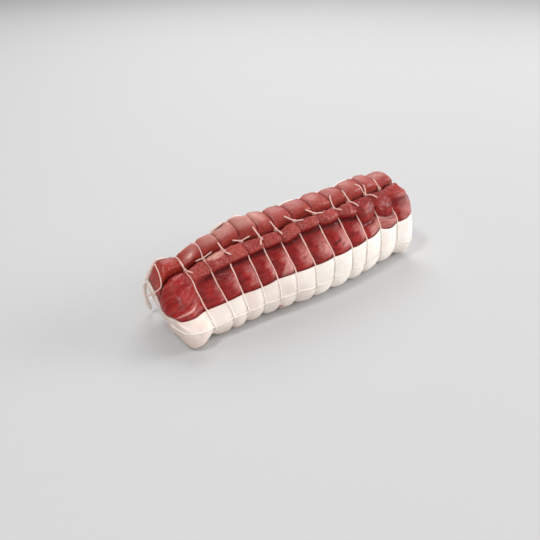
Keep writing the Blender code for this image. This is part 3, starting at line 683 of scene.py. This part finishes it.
def meat_mesh(name, front, mat):
    rings, normals, tt, us, segs, xs_row = [], [], [], [], [], []
    n_a = 1.0
    for x, phi in ROWS:
        fe, be = front_edge(x), back_edge(x)
        if front:
            counts = [max(int(v * n_a), 3) for v in (4, 22, 18, 14, 12, 14, 16, 8)]
            shown_t = spread([fe + 0.10, fe + 0.30, 5, 6, 6.6, 7, 8, 8.7, 9], counts)
            depth = 0.8 * np.exp(-((shown_t - fe - 0.1) / 0.10) ** 2)
            hidden_t = np.array([9.0, 0, 1, 2, 3, fe - 0.05])
            hid_depth = np.array([3.0, 3.3, 3.3, 3.3, 3.4, 3.9])
        else:
            counts = [max(int(v * n_a), 3) for v in (8, 18, 30, 26, 6)]
            shown_t = spread([9.0, 9.3, 10, 11, be - 0.35, be - 0.12], counts)
            i, u = pillow_u(x)
            proud = min(max(BACK_EDGE[i] / 0.3, 0.0), 1.0) * math.sin(math.pi * u) ** 0.8
            depth = (0.8 + 2.0 * proud) * np.exp(-((be - 0.12 - shown_t) / (0.10 + 0.28 * proud)) ** 2)
            hidden_t = np.array([be, 12.9, 13.4, 14, 15, 16])
            hid_depth = np.array([3.9, 3.5, 3.4, 3.3, 3.3, 3.3])
        taper = math.cos(phi)
        p, n = ring(x, shown_t, 0, np.ones(len(shown_t), bool), phi, 0)
        p[:, 1:] -= n * (depth * taper)[:, None]
        q, nq = ring(x, hidden_t, hid_depth, np.zeros(len(hidden_t), bool), phi, 0)
        if front:
            q[0] = p[-1] + (q[1] - p[-1]) * 0.5
        else:
            q[-1] = q[-2] + (p[0] - q[-2]) * 0.15
        shift = -0.3 if front else 0.3
        k = len(p) - 1 if front else 0
        p[k, 1] += shift * taper
        rings.append(np.vstack([p, q]))
        normals.append(np.vstack([n, nq]))
        tt.append(np.concatenate([shown_t, hidden_t]))
        i, u = pillow_u(x)
        us.append(u)
        segs.append(i)
    rings = np.array(rings)
    tt = np.array(tt)
    rows, cols = rings.shape[:2]
    shown = cols - 6
    # Lumps and fibres push the shown surface in and out along its true normals.
    du = np.gradient(rings, axis=0)
    dv = np.gradient(rings, axis=1)
    normal = np.cross(dv, du)
    length = np.linalg.norm(normal, axis=2, keepdims=True)
    normal = normal / np.maximum(length, 1e-9)
    centre = rings.mean(axis=1, keepdims=True)
    normal *= np.where(((rings - centre) * normal).sum(2).mean() < 0, -1, 1)
    s = girth(rings[:, :shown])
    s = s - s[:, :1]
    X = rings[:, :shown, 0]
    U = np.array(us)[:, None] * np.ones((1, shown))
    T = tt[:, :shown]
    xyz = np.stack([X, s, np.zeros_like(X)], -1)
    tilt = np.radians(np.where(X < -108, 24.0, 7.0)) if front else math.radians(-62)
    fx = X * np.cos(tilt) + s * np.sin(tilt)
    fs = -X * np.sin(tilt) + s * np.cos(tilt)
    lump = 0.50 * noise(xyz / 9 + 3, 1) + 0.30 * noise(xyz / 4.2 + 9, 2) + 0.12 * noise(xyz / 2.0 + 4, 5)
    fibres = noise(np.stack([fx / 11, fs / 1.5, 0 * fx], -1), 3) * 0.16 + noise(np.stack([fx / 6, fs / 0.8, 0 * fx], -1), 4) * 0.07
    rough = smooth(6.3, 7.0, T) * smooth(9.0, 8.6, T) if front else np.zeros_like(T)
    push = lump * (0.8 + 1.0 * rough) + fibres * (1 - 0.6 * rough)
    if not front:
        push = 0.6 * lump + fibres * 0.6
    edge_fade = smooth(0, 5, np.arange(shown))[None, :] * smooth(0, 5, np.arange(shown)[::-1])[None, :]
    near = np.min(np.abs(X[..., None] - np.array(LOOP_X)), axis=-1)
    push = push * edge_fade * smooth(0.0, 2.5, near) * np.cos([phi for _, phi in ROWS])[:, None] ** 0.3
    rings[:, :shown] += normal[:, :shown] * push[..., None]
    # Painted masks: membranes, fat and strip texture, with painted sheen, painted shade and painted highlights.
    paint = np.zeros((rows, cols, 3))
    paint2 = np.zeros((rows, cols, 3))
    n1 = noise(xyz / 5.0, 11)
    n2 = noise(np.stack([fx / 9, fs / 2.2, 0 * fx], -1), 12)
    n3 = noise(xyz / 11.0, 13)
    seg = np.repeat(np.array(segs, int)[:, None], shown, axis=1)
    if front:
        low = smooth(6.0, 5.2, T)
        body = smooth(-113, -108, X)
        wide = np.array(SHEEN_FROM)[seg]
        ridge = smooth(wide - 0.22, wide + 0.22, U + 0.10 * n2 + 0.10 * n1)
        # Painted sheen: a pale wash on the right part of each pillow, on the strip tops and over the thin end.
        painted_sheen = ridge * low * body * smooth(0.0, 0.5, T - 3.95) * (0.80 + 0.25 * n3)
        painted_sheen *= 1 - 0.35 * smooth(4.9, 5.8, T)
        painted_sheen += 0.22 * smooth(0.55, 0.9, U) * smooth(6.2, 7.0, T) * body * smooth(9, 6, seg)
        painted_sheen += 0.14 * smooth(0.35, 0.65, n2 * 0.5 + 0.5) * smooth(-108, -113, X)
        painted_sheen = np.maximum(painted_sheen, 0.85 * ((seg == 10) | (seg == 11)) * smooth(5.9, 5.5, T) * smooth(0.15, 0.4, U + (seg == 11)))
        painted_sheen = np.maximum(painted_sheen, 0.80 * (seg == 12) * smooth(0.06, 0.22, U + 0.04 * n1) * smooth(7.8, 6.4, T + 0.3 * n1))
        pale_rim = (seg == 11) * smooth(5.3, 5.7, T) * smooth(6.2, 5.9, T)
        # Painted shade under the strip's overhang, beside each string, below the strip, in the groove and along the
        # fat's edge; the strip is also darker towards the right end.
        deep = smooth(6.55, 6.30, T) * smooth(5.70, 6.05, T) * smooth(-112, -95, X) * np.where(seg >= 10, 0.35, 0.85)
        deep += smooth(0.46, 0.05, U + 0.06 * n2) * low * body * 0.50 * (0.8 + 0.4 * n1) * (seg < 10)
        deep += smooth(5.0, 5.9, T) * smooth(6.3, 6.1, T) * body * 0.35
        deep += smooth(8.72, 8.95, T) * 0.9
        deep += (0.20 + 0.22 * smooth(8.5, 9.5, seg)) * smooth(6.5, 6.9, T) * smooth(3.5, 5.0, seg) * (0.8 + 0.5 * n1) * (seg < 12)
        deep += 0.12 * smooth(0.0, 0.12, 0.12 - np.abs(T - 4.08))
        soft = smooth(6.5, 6.9, T) * (0.85 + 0.3 * n1) * smooth(-118, -108, X) * np.where(seg >= 10, 0.35, 1.0)
        pale = polygon(X + 1.2 * n2, s + 0.8 * n1, MEMBRANE, 0.9) * (0.48 + 0.25 * n2) * smooth(-18.8, -19.6, X)
        pale = np.maximum(pale, 0.55 * pale_rim)
        fatty = np.zeros_like(X)
        for centre_, size_, turn_, k_ in FAT_PATCHES:
            fatty = np.maximum(fatty, k_ * oval(X + 1.6 * n1, s + 1.1 * n1, centre_, size_, turn_) * np.clip(0.85 + 0.5 * n1, 0, 1))
        # Painted shade in a slit.
        for centre_, size_, turn_, k_ in DARK_SLITS:
            deep = np.maximum(deep, k_ * oval(X, s, centre_, size_, turn_))
        paint[:, :shown] = np.stack([pale, deep, painted_sheen], -1)
        paint2[:, :shown] = np.stack([fatty, soft, smooth(-107, -112, X)], -1)
    else:
        # Painted sheen on the tops of the back lobes towards the thin end.
        painted_sheen = smooth(9.9, 10.8, T) * smooth(0.95, 0.35, U + 0.10 * n1) * smooth(-96, -80, X) * 0.9
        soft = smooth(10.6, 9.6, T) * 0.65 + smooth(0.70, 0.98, U + 0.08 * n1) * 0.55
        soft += smooth(-84, -96, X) * 0.75
        # Painted sheen, paler pink on the back lobes towards the thin end, and a painted highlight on the second lobe.
        pale = (0.42 * smooth(-112, -96, X) + 0.26 * smooth(-90, -78, X)) * smooth(-20, -34, X) * smooth(9.9, 10.6, T) * (0.9 + 0.3 * n1)
        pale = pale + 0.75 * oval(X, s, (-102.8, 19.4), (2.4, 1.3), 0.5, 0.6) + 0.30 * oval(X, s, (-104.5, 18.0), (5.5, 3.4), 0.6, 0.8)
        # Painted shade in the groove and in the clefts beside the strings.
        deep = smooth(9.55, 9.15, T) * 0.9 + 0.55 * smooth(1.6, 0.2, near) * smooth(12.2, 11.8, T)
        wet = smooth(-84, -96, X)
        paint[:, :shown] = np.stack([pale, deep, painted_sheen], -1)
        paint2[:, :shown] = np.stack([0 * X, soft, wet], -1)
    verts = rings.reshape(-1, 3)
    uv = np.zeros((rows, cols, 2))
    uv[:, :shown, 0], uv[:, :shown, 1] = X / 10, s / 10
    uv[:, shown:, 0] = rings[:, shown:, 0] / 10
    uv[:, shown:, 1] = s[:, -1:] / 10 + 1
    quads = grid_faces(rows, cols, True)
    # End caps.
    tips, tris = [], []
    for row, flip in ((0, False), (rows - 1, True)):
        tip = rings[row].mean(axis=0)
        tips.append(tip)
        index = rows * cols + len(tips) - 1
        for j in range(cols):
            t3 = (row * cols + j, row * cols + (j + 1) % cols, index)
            tris.append(t3[::-1] if flip else t3)
    verts = np.vstack([verts, tips])
    uv = np.vstack([uv.reshape(-1, 2), [[verts[-2, 0] / 10, 0], [verts[-1, 0] / 10, 0]]])
    paint = np.vstack([paint.reshape(-1, 3), np.zeros((2, 3))])
    paint2 = np.vstack([paint2.reshape(-1, 3), np.zeros((2, 3))])
    return build(name, verts, quads, tris, mat, uv, paint, paint2)


# Patches on the front muscle, as (x, girth above the bard's edge): a pale membrane, and ovals
# of fat and of painted shade (a slit), with half sizes, turn and strength.
MEMBRANE = [(-19.0, 18.5), (-36.8, -1.5), (-17.0, -1.5), (-17.0, 17.0)]
# Where across each pillow the painted sheen begins (0 to 1).
SHEEN_FROM = [0.80, 0.80, 0.70, 0.60, 0.70, 0.62, 0.50, 0.42, 0.55, 0.62, 0.55, 0.55, 0.60]
FAT_PATCHES = [
    ((-84.5, 45.7), (7.4, 3.0), 0.05, 0.95),
    ((-129.5, 5.4), (10.5, 1.1), 0.25, 0.75),
]
DARK_SLITS = [
    ((37.4, 11.9), (6.3, 1.1), 0.22, 0.95),
]


def bard_mesh(mat):
    n_a = 1.0
    rings, tt, us, segs, outer_n = [], [], [], [], None
    R = BARD_THICK / 2
    for x, phi in ROWS:
        fe, be = front_edge(x), back_edge(x)
        counts = [max(int(v * n_a), 3) for v in (10, 12, 20, 16, 6, 12, 22, 20, 14, 10)]
        t = spread([fe, fe - 0.16, 3, 2, 1, 0, -1, -2, -3, be - 16 + 0.12, be - 16], counts)
        back_in = spread([be - 16, be - 16 + 0.12, -3, -1, 1, 3, fe - 0.16, fe], [max(int(v * n_a), 2) for v in (8, 4, 5, 4, 5, 5, 8)])
        pts, _ = places(x)
        out_p = curve(pts, t)[0]
        arc = np.concatenate([[0], np.cumsum(np.linalg.norm(np.diff(out_p, axis=0), axis=1))])
        d = np.minimum(arc, arc[-1] - arc)
        e = np.where(d < R, R - np.sqrt(np.maximum(R * R - (R - d) ** 2, 0)), 0)
        in_p = curve(pts, back_in)[0]
        arc2 = np.concatenate([[0], np.cumsum(np.linalg.norm(np.diff(in_p, axis=0), axis=1))])
        d2 = np.minimum(arc2, arc2[-1] - arc2)
        e2 = BARD_THICK - np.where(d2 < R, R - np.sqrt(np.maximum(R * R - (R - d2) ** 2, 0)), 0)
        all_t = np.concatenate([t, back_in[1:-1]])
        depth = np.concatenate([e, e2[1:-1]])
        p, n = ring(x, all_t, depth, None, phi, 0)
        rings.append(p)
        tt.append(all_t)
        outer_n = len(t)
        i, u = pillow_u(x)
        us.append(u)
        segs.append(i)
    rings, tt = np.array(rings), np.array(tt)
    rows, cols = rings.shape[:2]
    s = girth(rings)
    X = rings[..., 0]
    xyz = np.stack([X, s, 0 * X], -1)
    du, dv = np.gradient(rings, axis=0), np.gradient(rings, axis=1)
    normal = np.cross(dv, du)
    normal /= np.maximum(np.linalg.norm(normal, axis=2, keepdims=True), 1e-9)
    mid = rings[:, :outer_n].mean(axis=1, keepdims=True)
    normal *= -1 if ((rings[:, :outer_n] - mid) * normal[:, :outer_n]).sum(2).mean() < 0 else 1
    push = 0.30 * noise(xyz / 13 + 5, 21) + 0.12 * noise(xyz / 5 + 2, 22)
    near = np.min(np.abs(X[..., None] - np.array(LOOP_X)), axis=-1)
    k = np.arange(cols)
    fade = smooth(0, 6, k) * smooth(outer_n, outer_n - 6, k)
    flat = smooth(0.5, 3.0, rings[..., 2])
    push = push * fade[None, :] * smooth(0.2, 3.0, near) * flat * np.cos([phi for _, phi in ROWS])[:, None] ** 0.5
    rings += normal * push[..., None]
    rings[..., 2] = np.maximum(rings[..., 2], 0.0)
    U = np.array(us)[:, None] * np.ones((1, cols))
    n1, n2 = noise(xyz / 6, 23), noise(xyz / 14, 24)
    outer = (k < outer_n)[None, :]
    edge_mm = s
    back_mm = np.abs(s[:, outer_n - 1 : outer_n] - s)
    blush = 0.55 * smooth(1.5, 0.2, edge_mm + 0.5 * n1) * outer + 0.35 * smooth(1.2, 0.2, back_mm)
    shade = 0.62 * smooth(30, -45, X) * (0.85 + 0.3 * n2) + 0.14 * smooth(-85, -110, X) + 0.24 * smooth(-112, -140, X) * (0.9 + 0.2 * n2) + 0.26 * smooth(2.9, 1.6, tt) * smooth(-1.0, 0.5, tt) + 0.12 * smooth(0.1, 0.7, n2)
    stain = np.zeros_like(X)
    spot = oval(X, s, (122.6, 26.1), (1.2, 1.0), 0.0)
    stain = np.maximum(stain, 0.30 * spot)
    stain = np.maximum(stain, 0.55 * oval(X, s, (-37.6, 34.0), (4.2, 2.6), 0.3))
    paint = np.stack([blush, np.clip(shade, 0, 1), stain], -1)
    quads = grid_faces(rows, cols, True)
    # The two ends: outer and inner skins meet along the lip.
    tris = []
    lips = []
    for row, flip in ((0, False), (rows - 1, True)):
        inner_idx = list(range(outer_n, cols))[::-1]
        outer_idx = list(range(outer_n))
        i = j = 0
        chain_o, chain_i = outer_idx, [0] + inner_idx + [outer_n - 1]
        po, pi = rings[row][chain_o], rings[row][chain_i]
        while i < len(chain_o) - 1 or j < len(chain_i) - 1:
            step_o = i < len(chain_o) - 1 and (j == len(chain_i) - 1 or (i + 1) / (len(chain_o) - 1) <= (j + 1) / (len(chain_i) - 1))
            a, b = row * cols + chain_o[i], row * cols + chain_i[j]
            if step_o:
                c = row * cols + chain_o[i + 1]
                i += 1
            else:
                c = row * cols + chain_i[j + 1]
                j += 1
            if len({a, b, c}) == 3:
                t3 = (a, b, c)
                tris.append(t3 if flip else t3[::-1])
    uv = np.stack([X / 10, s / 10], -1).reshape(-1, 2)
    return build("bard_sheet", rings.reshape(-1, 3), quads, tris, mat, uv, paint.reshape(-1, 3))


# ---- twine -----------------------------------------------------------------------------
def resample(points, step):
    points = np.asarray(points, float)
    along = np.concatenate([[0], np.cumsum(np.linalg.norm(np.diff(points, axis=0), axis=1))])
    n = max(int(round(along[-1] / step)), 2)
    where = np.linspace(0, along[-1], n + 1)
    return np.stack([np.interp(where, along, points[:, k]) for k in range(3)], 1)


def rounded(points, times=2, closed=False):
    """Chaikin corner cutting."""
    points = np.asarray(points, float)
    for _ in range(times):
        nxt = np.roll(points, -1, axis=0) if closed else points[1:]
        cur = points if closed else points[:-1]
        cut = np.empty((2 * len(cur), 3))
        cut[0::2] = cur * 0.75 + nxt * 0.25
        cut[1::2] = cur * 0.25 + nxt * 0.75
        points = cut if closed else np.vstack([points[:1], cut, points[-1:]])
    return points


def rope(points, radius, closed=False, plies=3, pitch=5.2, sides=9, step=0.55, taper=None, groove=0.17):
    """A twisted string along points: (verts, quads, tris)."""
    step = step * 1.0
    line = resample(np.vstack([points, points[:1]]) if closed else points, step)
    if closed:
        line = line[:-1]
    n = len(line)
    if closed:
        tangent = np.roll(line, -1, axis=0) - np.roll(line, 1, axis=0)
    else:
        tangent = np.gradient(line, axis=0)
    tangent /= np.maximum(np.linalg.norm(tangent, axis=1), 1e-9)[:, None]
    side = np.zeros_like(line)
    ref = np.array([0.3, 0.2, 1.0])
    v = np.cross(tangent[0], ref)
    v /= np.linalg.norm(v)
    for i in range(n):
        v = v - tangent[i] * (v @ tangent[i])
        v /= max(np.linalg.norm(v), 1e-9)
        side[i] = v
    other = np.cross(tangent, side)
    angle = np.linspace(0, 2 * np.pi, sides, endpoint=False)
    turns = np.arange(n) * step / pitch * 2 * np.pi
    if closed:
        whole = round(turns[-1] / (2 * np.pi)) * 2 * np.pi
        turns = np.arange(n) / n * whole
        twist = math.atan2(float(side[-1] @ other[0]), float(side[-1] @ side[0]))
        spin = np.arange(n) / n * twist
    else:
        spin = np.zeros(n)
    r = radius * (1 + groove * np.cos(plies * (angle[None, :] - turns[:, None])))
    if taper is not None:
        r = r * taper(np.linspace(0, 1, n))[:, None]
    a = angle[None, :] - spin[:, None]
    verts = line[:, None, :] + r[..., None] * (np.cos(a)[..., None] * side[:, None, :] + np.sin(a)[..., None] * other[:, None, :])
    quads = grid_faces(n, sides, True)[:, ::-1]
    tris = []
    if closed:
        a0 = (n - 1) * sides + np.arange(sides)
        b0 = (n - 1) * sides + (np.arange(sides) + 1) % sides
        extra = np.stack([a0, b0, (np.arange(sides) + 1) % sides, np.arange(sides)], 1)
        quads = np.vstack([quads, extra])
    else:
        for j in range(1, sides - 1):
            tris.append((0, j, j + 1))
            last = (n - 1) * sides
            tris.append((last, last + j + 1, last + j))
    return verts.reshape(-1, 3), quads, tris


def gather(pieces):
    verts, quads, tris, off = [], [], [], 0
    for v, q, t in pieces:
        verts.append(v)
        quads.append(np.asarray(q, int).reshape(-1, 4) + off)
        if len(t):
            tris.append(np.asarray(t, int) + off)
        off += len(v)
    return np.vstack(verts), np.vstack(quads), np.vstack(tris) if tris else np.zeros((0, 3), int)


HEIGHT_T = np.linspace(4.2, 12.4, 260)


def height(x, y):
    pts, _ = places(x)
    p, _n = curve(pts, HEIGHT_T)
    a, b = p[:-1], p[1:]
    lo, hi = np.minimum(a[:, 0], b[:, 0]), np.maximum(a[:, 0], b[:, 0])
    hit = (lo <= y) & (y <= hi) & (a[:, 0] != b[:, 0])
    if not hit.any():
        return 0.0
    f = (y - a[hit, 0]) / (b[hit, 0] - a[hit, 0])
    return float((a[hit, 1] + (b[hit, 1] - a[hit, 1]) * f).max())


def loop_line(i):
    x = LOOP_X[i]
    pts, _ = places(x, pinch=0.0)
    t = np.concatenate([np.linspace(8.75, 0, 110), np.linspace(15.95, 9.35, 90)])
    p, n = curve(pts, t)
    shown_back = 1.0 if i < 2 else 0.0
    lift = np.full(len(t), 0.55)
    lift += -1.1 * smooth(6.15, 6.6, t) * smooth(9.0, 8.6, t) * (1 - shown_back)
    lift += (-0.9 * (1 - shown_back) + 0.75 * shown_back) * smooth(9.1, 9.6, t) * smooth(12.3, 11.9, t)
    if i == 11:
        lift += -1.2 * smooth(4.75, 5.2, t) * smooth(6.6, 6.15, t)
    lift += 0.30 * smooth(4.1, 3.7, t) * smooth(-0.1, 1.0, t)
    for crossing in (3.0, 13.25):
        lift += 1.15 * np.exp(-(((t - crossing) / 0.16) ** 2))
    q = p + n * lift[:, None]
    q[:, 1] = np.maximum(q[:, 1], STRING_R + 0.05)
    wob = 0.25 * np.sin(t * 2.1 + i) + 0.15 * np.sin(t * 5.3 + 2 * i)
    line = np.column_stack([x + wob, q])
    knot = np.array([x, KNOTS[i][0], KNOTS[i][1] + 0.4])
    return knot, line


def frayed(tip, direction, count=5):
    """Loose strands at a cut end."""
    out = []
    d = direction / np.linalg.norm(direction)
    a = np.cross(d, (0.2, 0.9, 0.4))
    a /= np.linalg.norm(a)
    b = np.cross(d, a)
    for k in range(count):
        ang = 2 * np.pi * k / count + rng.uniform(-0.4, 0.4)
        splay = rng.uniform(0.25, 0.6)
        start = tip - d * 0.9 + (a * math.cos(ang) + b * math.sin(ang)) * 0.25
        end = start + (d * rng.uniform(1.3, 2.2) + (a * math.cos(ang) + b * math.sin(ang)) * splay)
        mid = (start + end) / 2 + (a * math.cos(ang) + b * math.sin(ang)) * 0.12
        out.append(rope([start, mid, end], 0.25, plies=1, sides=5, step=0.5, groove=0.0))
    return out


def make_loop(i):
    knot, line = loop_line(i)
    start, end = line[0], line[-1]
    path = np.vstack([[knot + (0.5, -0.3, 0.1)], line, [knot + (-0.5, 0.3, 0.1)]])
    pieces = [rope(rounded(path, 2), STRING_R)]
    # The knot: two turns of the twine crossed over each other.
    turns = []
    for sign, reach in ((1, 1.25), (-1, 1.05)):
        ang = np.linspace(-0.35 * np.pi, 1.75 * np.pi, 16)
        axis = np.array([0.75, 0.55 * sign, 0.2])
        axis /= np.linalg.norm(axis)
        a = np.cross(axis, (0, 0, 1))
        a /= np.linalg.norm(a)
        b = np.cross(axis, a)
        shift = np.linspace(-0.55, 0.55, 16)
        turns.append(knot + (0.1, 0.05, 0.75) + np.outer(np.cos(ang), a) * reach + np.outer(np.sin(ang), b) * reach * 0.8 + np.outer(shift, axis))
    for turn in turns:
        pieces.append(rope(turn, STRING_R * 0.85, pitch=4.0))
    begin = knot + np.array([0.1, 0.05, 0.9])
    for k, tip in enumerate(TAILS[i]):
        tip = begin + np.array(tip)
        bow = np.cross(tip - begin, (0, 0, 1))
        bow = bow / max(np.linalg.norm(bow), 1e-9) * (0.5 if (i + k) % 2 else -0.5)
        line_ = [begin + (tip - begin) * f + bow * math.sin(math.pi * f) for f in (0, 0.25, 0.5, 0.75, 1)]
        for p in line_[1:]:
            p[2] = max(p[2], height(p[0], p[1]) + STRING_R * 0.8)
        line_ = rounded(line_, 2)
        pieces.append(rope(line_, STRING_R * 0.98, taper=lambda f: 0.95 + 0.10 * f))
        pieces += frayed(line_[-1], line_[-1] - line_[-3], 6 if (i == 9 and k == 0) else 5)
    verts, quads, tris = gather(pieces)
    wet = twine_wet(verts)
    obj = build(f"twine_loop_{i + 1:02d}", verts, quads, tris, TWINE_LOOK, verts[:, [1, 2]] / 10, np.stack([wet, 0 * wet, 0 * wet], -1))
    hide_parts(f"string_{i + 1:02d}")
    return obj


def twine_wet(verts):
    """1 where the twine lies on meat, 0 on the fat."""
    edge_z = np.interp(verts[:, 0], STATION_X, SIZES["edge_z"])
    rim_y = np.interp(verts[:, 0], STATION_X, SIZES["rim_y"])
    return smooth(-1.0, 2.0, verts[:, 2] - edge_z) * smooth(8.0, 2.0, verts[:, 1] - rim_y)


def snug(point, proud):
    """The nearest place on the meat or the sheet, raised by proud."""
    best = None
    for tree in SKINS:
        spot, normal, _, gap = tree.find_nearest(Vector(to_world(point)))
        if best is None or gap < best[0]:
            best = (gap, spot, normal)
    return np.array(best[1]) / MM + ORIGIN + np.array(best[2]) * proud


def make_long():
    def on(x, t, proud, phi=0.0):
        if phi:
            p, n = ring(x, [t], 0, None, phi)
            q = p[0] + np.array([0, n[0][0], n[0][1]]) * proud
            return q
        pts, _ = places(x)
        p, n = curve(pts, [t])
        return np.array([x, p[0][0] + n[0][0] * proud, p[0][1] + n[0][1] * proud])

    lo, hi = LEFT_X + LEFT_ROUND, RIGHT_X - RIGHT_ROUND
    xs = np.arange(lo, hi, 1.5)
    reach = 0.60
    front = [on(x, 3.0, reach) for x in xs if x > -119]
    back = [on(x, 13.25, reach) for x in xs if x > -129.5]
    phis = np.linspace(0.12, 1.45, 9)
    near_left = lambda phi: lo - LEFT_ROUND * 0.96 * math.sin(phi) ** (2 / 2.8)
    near_right = lambda phi: hi + RIGHT_ROUND * 0.96 * math.sin(phi) ** (2 / 2.8)
    right_end = [on(near_right(p), t, reach, p) for p, t in zip(phis, np.linspace(2.95, 2.0, 9))]
    right_end += [on(near_right(1.45), t % 16, reach, 1.45) + np.array([0.5, 0, -2.2]) for t in np.linspace(1.5, -1.6, 8)]
    right_end += [on(near_right(p), t % 16, reach, p) for p, t in zip(phis[::-1], np.linspace(-2.2, -2.75, 9))]
    strand = [on(-130.8, 13.05, 0.55), on(-132.6, 12.55, 0.6)] + [snug(p, 0.5) for p in STRAND]
    # Over the lip at the groove, across the hanging strip, then under the closed end to the front.
    lip = [np.array(p) for p in ((-144.0, 55.0, 37.6), (-144.2, 62.0, 32.0), (-144.2, 70.5, 26.5), (-143.4, 77.5, 23.0), (-139.8, 83.2, 20.0))]
    # Below, it is pressed into the fat.
    under = [ring(near_left(0.5), [t % 16], 1.3, None, 0.5)[0][0] for t in np.linspace(-2.2, -0.5, 5)]
    left_end = [snug(p, -1.3 if k < 3 else 0.55) for k, p in enumerate(FRONT_END)]
    path = np.array(front + right_end + back[::-1] + strand + lip + under + left_end)
    verts, quads, tris = rope(rounded(path, 1, closed=True), STRING_R * 0.9, closed=True, step=0.6)
    verts[:, 2] = np.maximum(verts[:, 2], 0.02)
    wet = twine_wet(verts)
    obj = build("twine_long", verts, quads, tris, TWINE_LOOK, verts[:, [0, 2]] / 10, np.stack([wet, 0 * wet, 0 * wet], -1))
    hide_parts("string_long")
    return obj


def make_tongue(mat):
    """The loose strip of fat that hangs from the back corner of the thin end."""
    root = [ring(LEFT_X + 6.0, [12.75], 1.2, None, 0.75)[0][0], ring(LEFT_X + 2.5, [12.9], 1.0, None, 1.1)[0][0]]
    pts = np.array(root + [np.array(p, float) for p in ((-141.2, 78.0, 36), (-141.5, 79, 25), (-140.4, 79.5, 14.5), (-137.2, 79, 4.2))])
    line = resample(rounded(pts, 3), 1.0)
    tangent = np.gradient(line, axis=0)
    tangent /= np.linalg.norm(tangent, axis=1)[:, None]
    thick = np.cross(tangent, (0.87, 0.5, 0))
    thick /= np.linalg.norm(thick, axis=1)[:, None]
    wide = np.cross(thick, tangent)
    ang = np.linspace(0, 2 * np.pi, 16, endpoint=False)
    f = np.linspace(0, 1, len(line))
    w = 3.1 - 0.5 * f + 0.35 * np.sin(9 * f)
    w = w * np.sqrt(np.clip(1 - (np.clip(f - 0.86, 0, 1) / 0.15) ** 2, 0.02, 1))
    h = np.full(len(line), 1.15)
    rings = line[:, None] + wide[:, None] * (np.sign(np.cos(ang)) * np.abs(np.cos(ang)) ** 0.7)[None, :, None] * w[:, None, None] + thick[:, None] * (np.sin(ang))[None, :, None] * h[:, None, None]
    rows = len(line)
    verts = rings.reshape(-1, 3)
    quads = grid_faces(rows, 16, True)
    tris = []
    for j in range(1, 15):
        tris.append((0, j, j + 1))
        tris.append(((rows - 1) * 16, (rows - 1) * 16 + j + 1, (rows - 1) * 16 + j))
    uv = verts[:, [1, 2]] / 10
    paint = np.zeros((len(verts), 3))
    # The hanging strip gets painted shade all over.
    paint[:, 1] = 0.45
    obj = build("bard_tongue_look", verts, quads, tris, mat, uv, paint)
    return obj


front_obj = meat_mesh("muscle_front", True, FRONT_LOOK)
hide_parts("meat_front")
back_obj = meat_mesh("muscle_back", False, BACK_LOOK)
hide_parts("meat_back")
bard_obj = bard_mesh(FAT_LOOK)
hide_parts("bard")
tongue_obj = make_tongue(FAT_LOOK)
made = [front_obj, back_obj, bard_obj, tongue_obj]
SKINS = []
for obj in made[:3]:
    corners = [tuple(v.co) for v in obj.data.vertices]
    SKINS.append(BVHTree.FromPolygons(corners, [tuple(f.vertices) for f in obj.data.polygons]))
for number in range(len(LOOP_X)):
    obj = make_loop(number)
    made.append(obj)
obj = make_long()
made.append(obj)
for obj in made:
    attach(obj, "root")
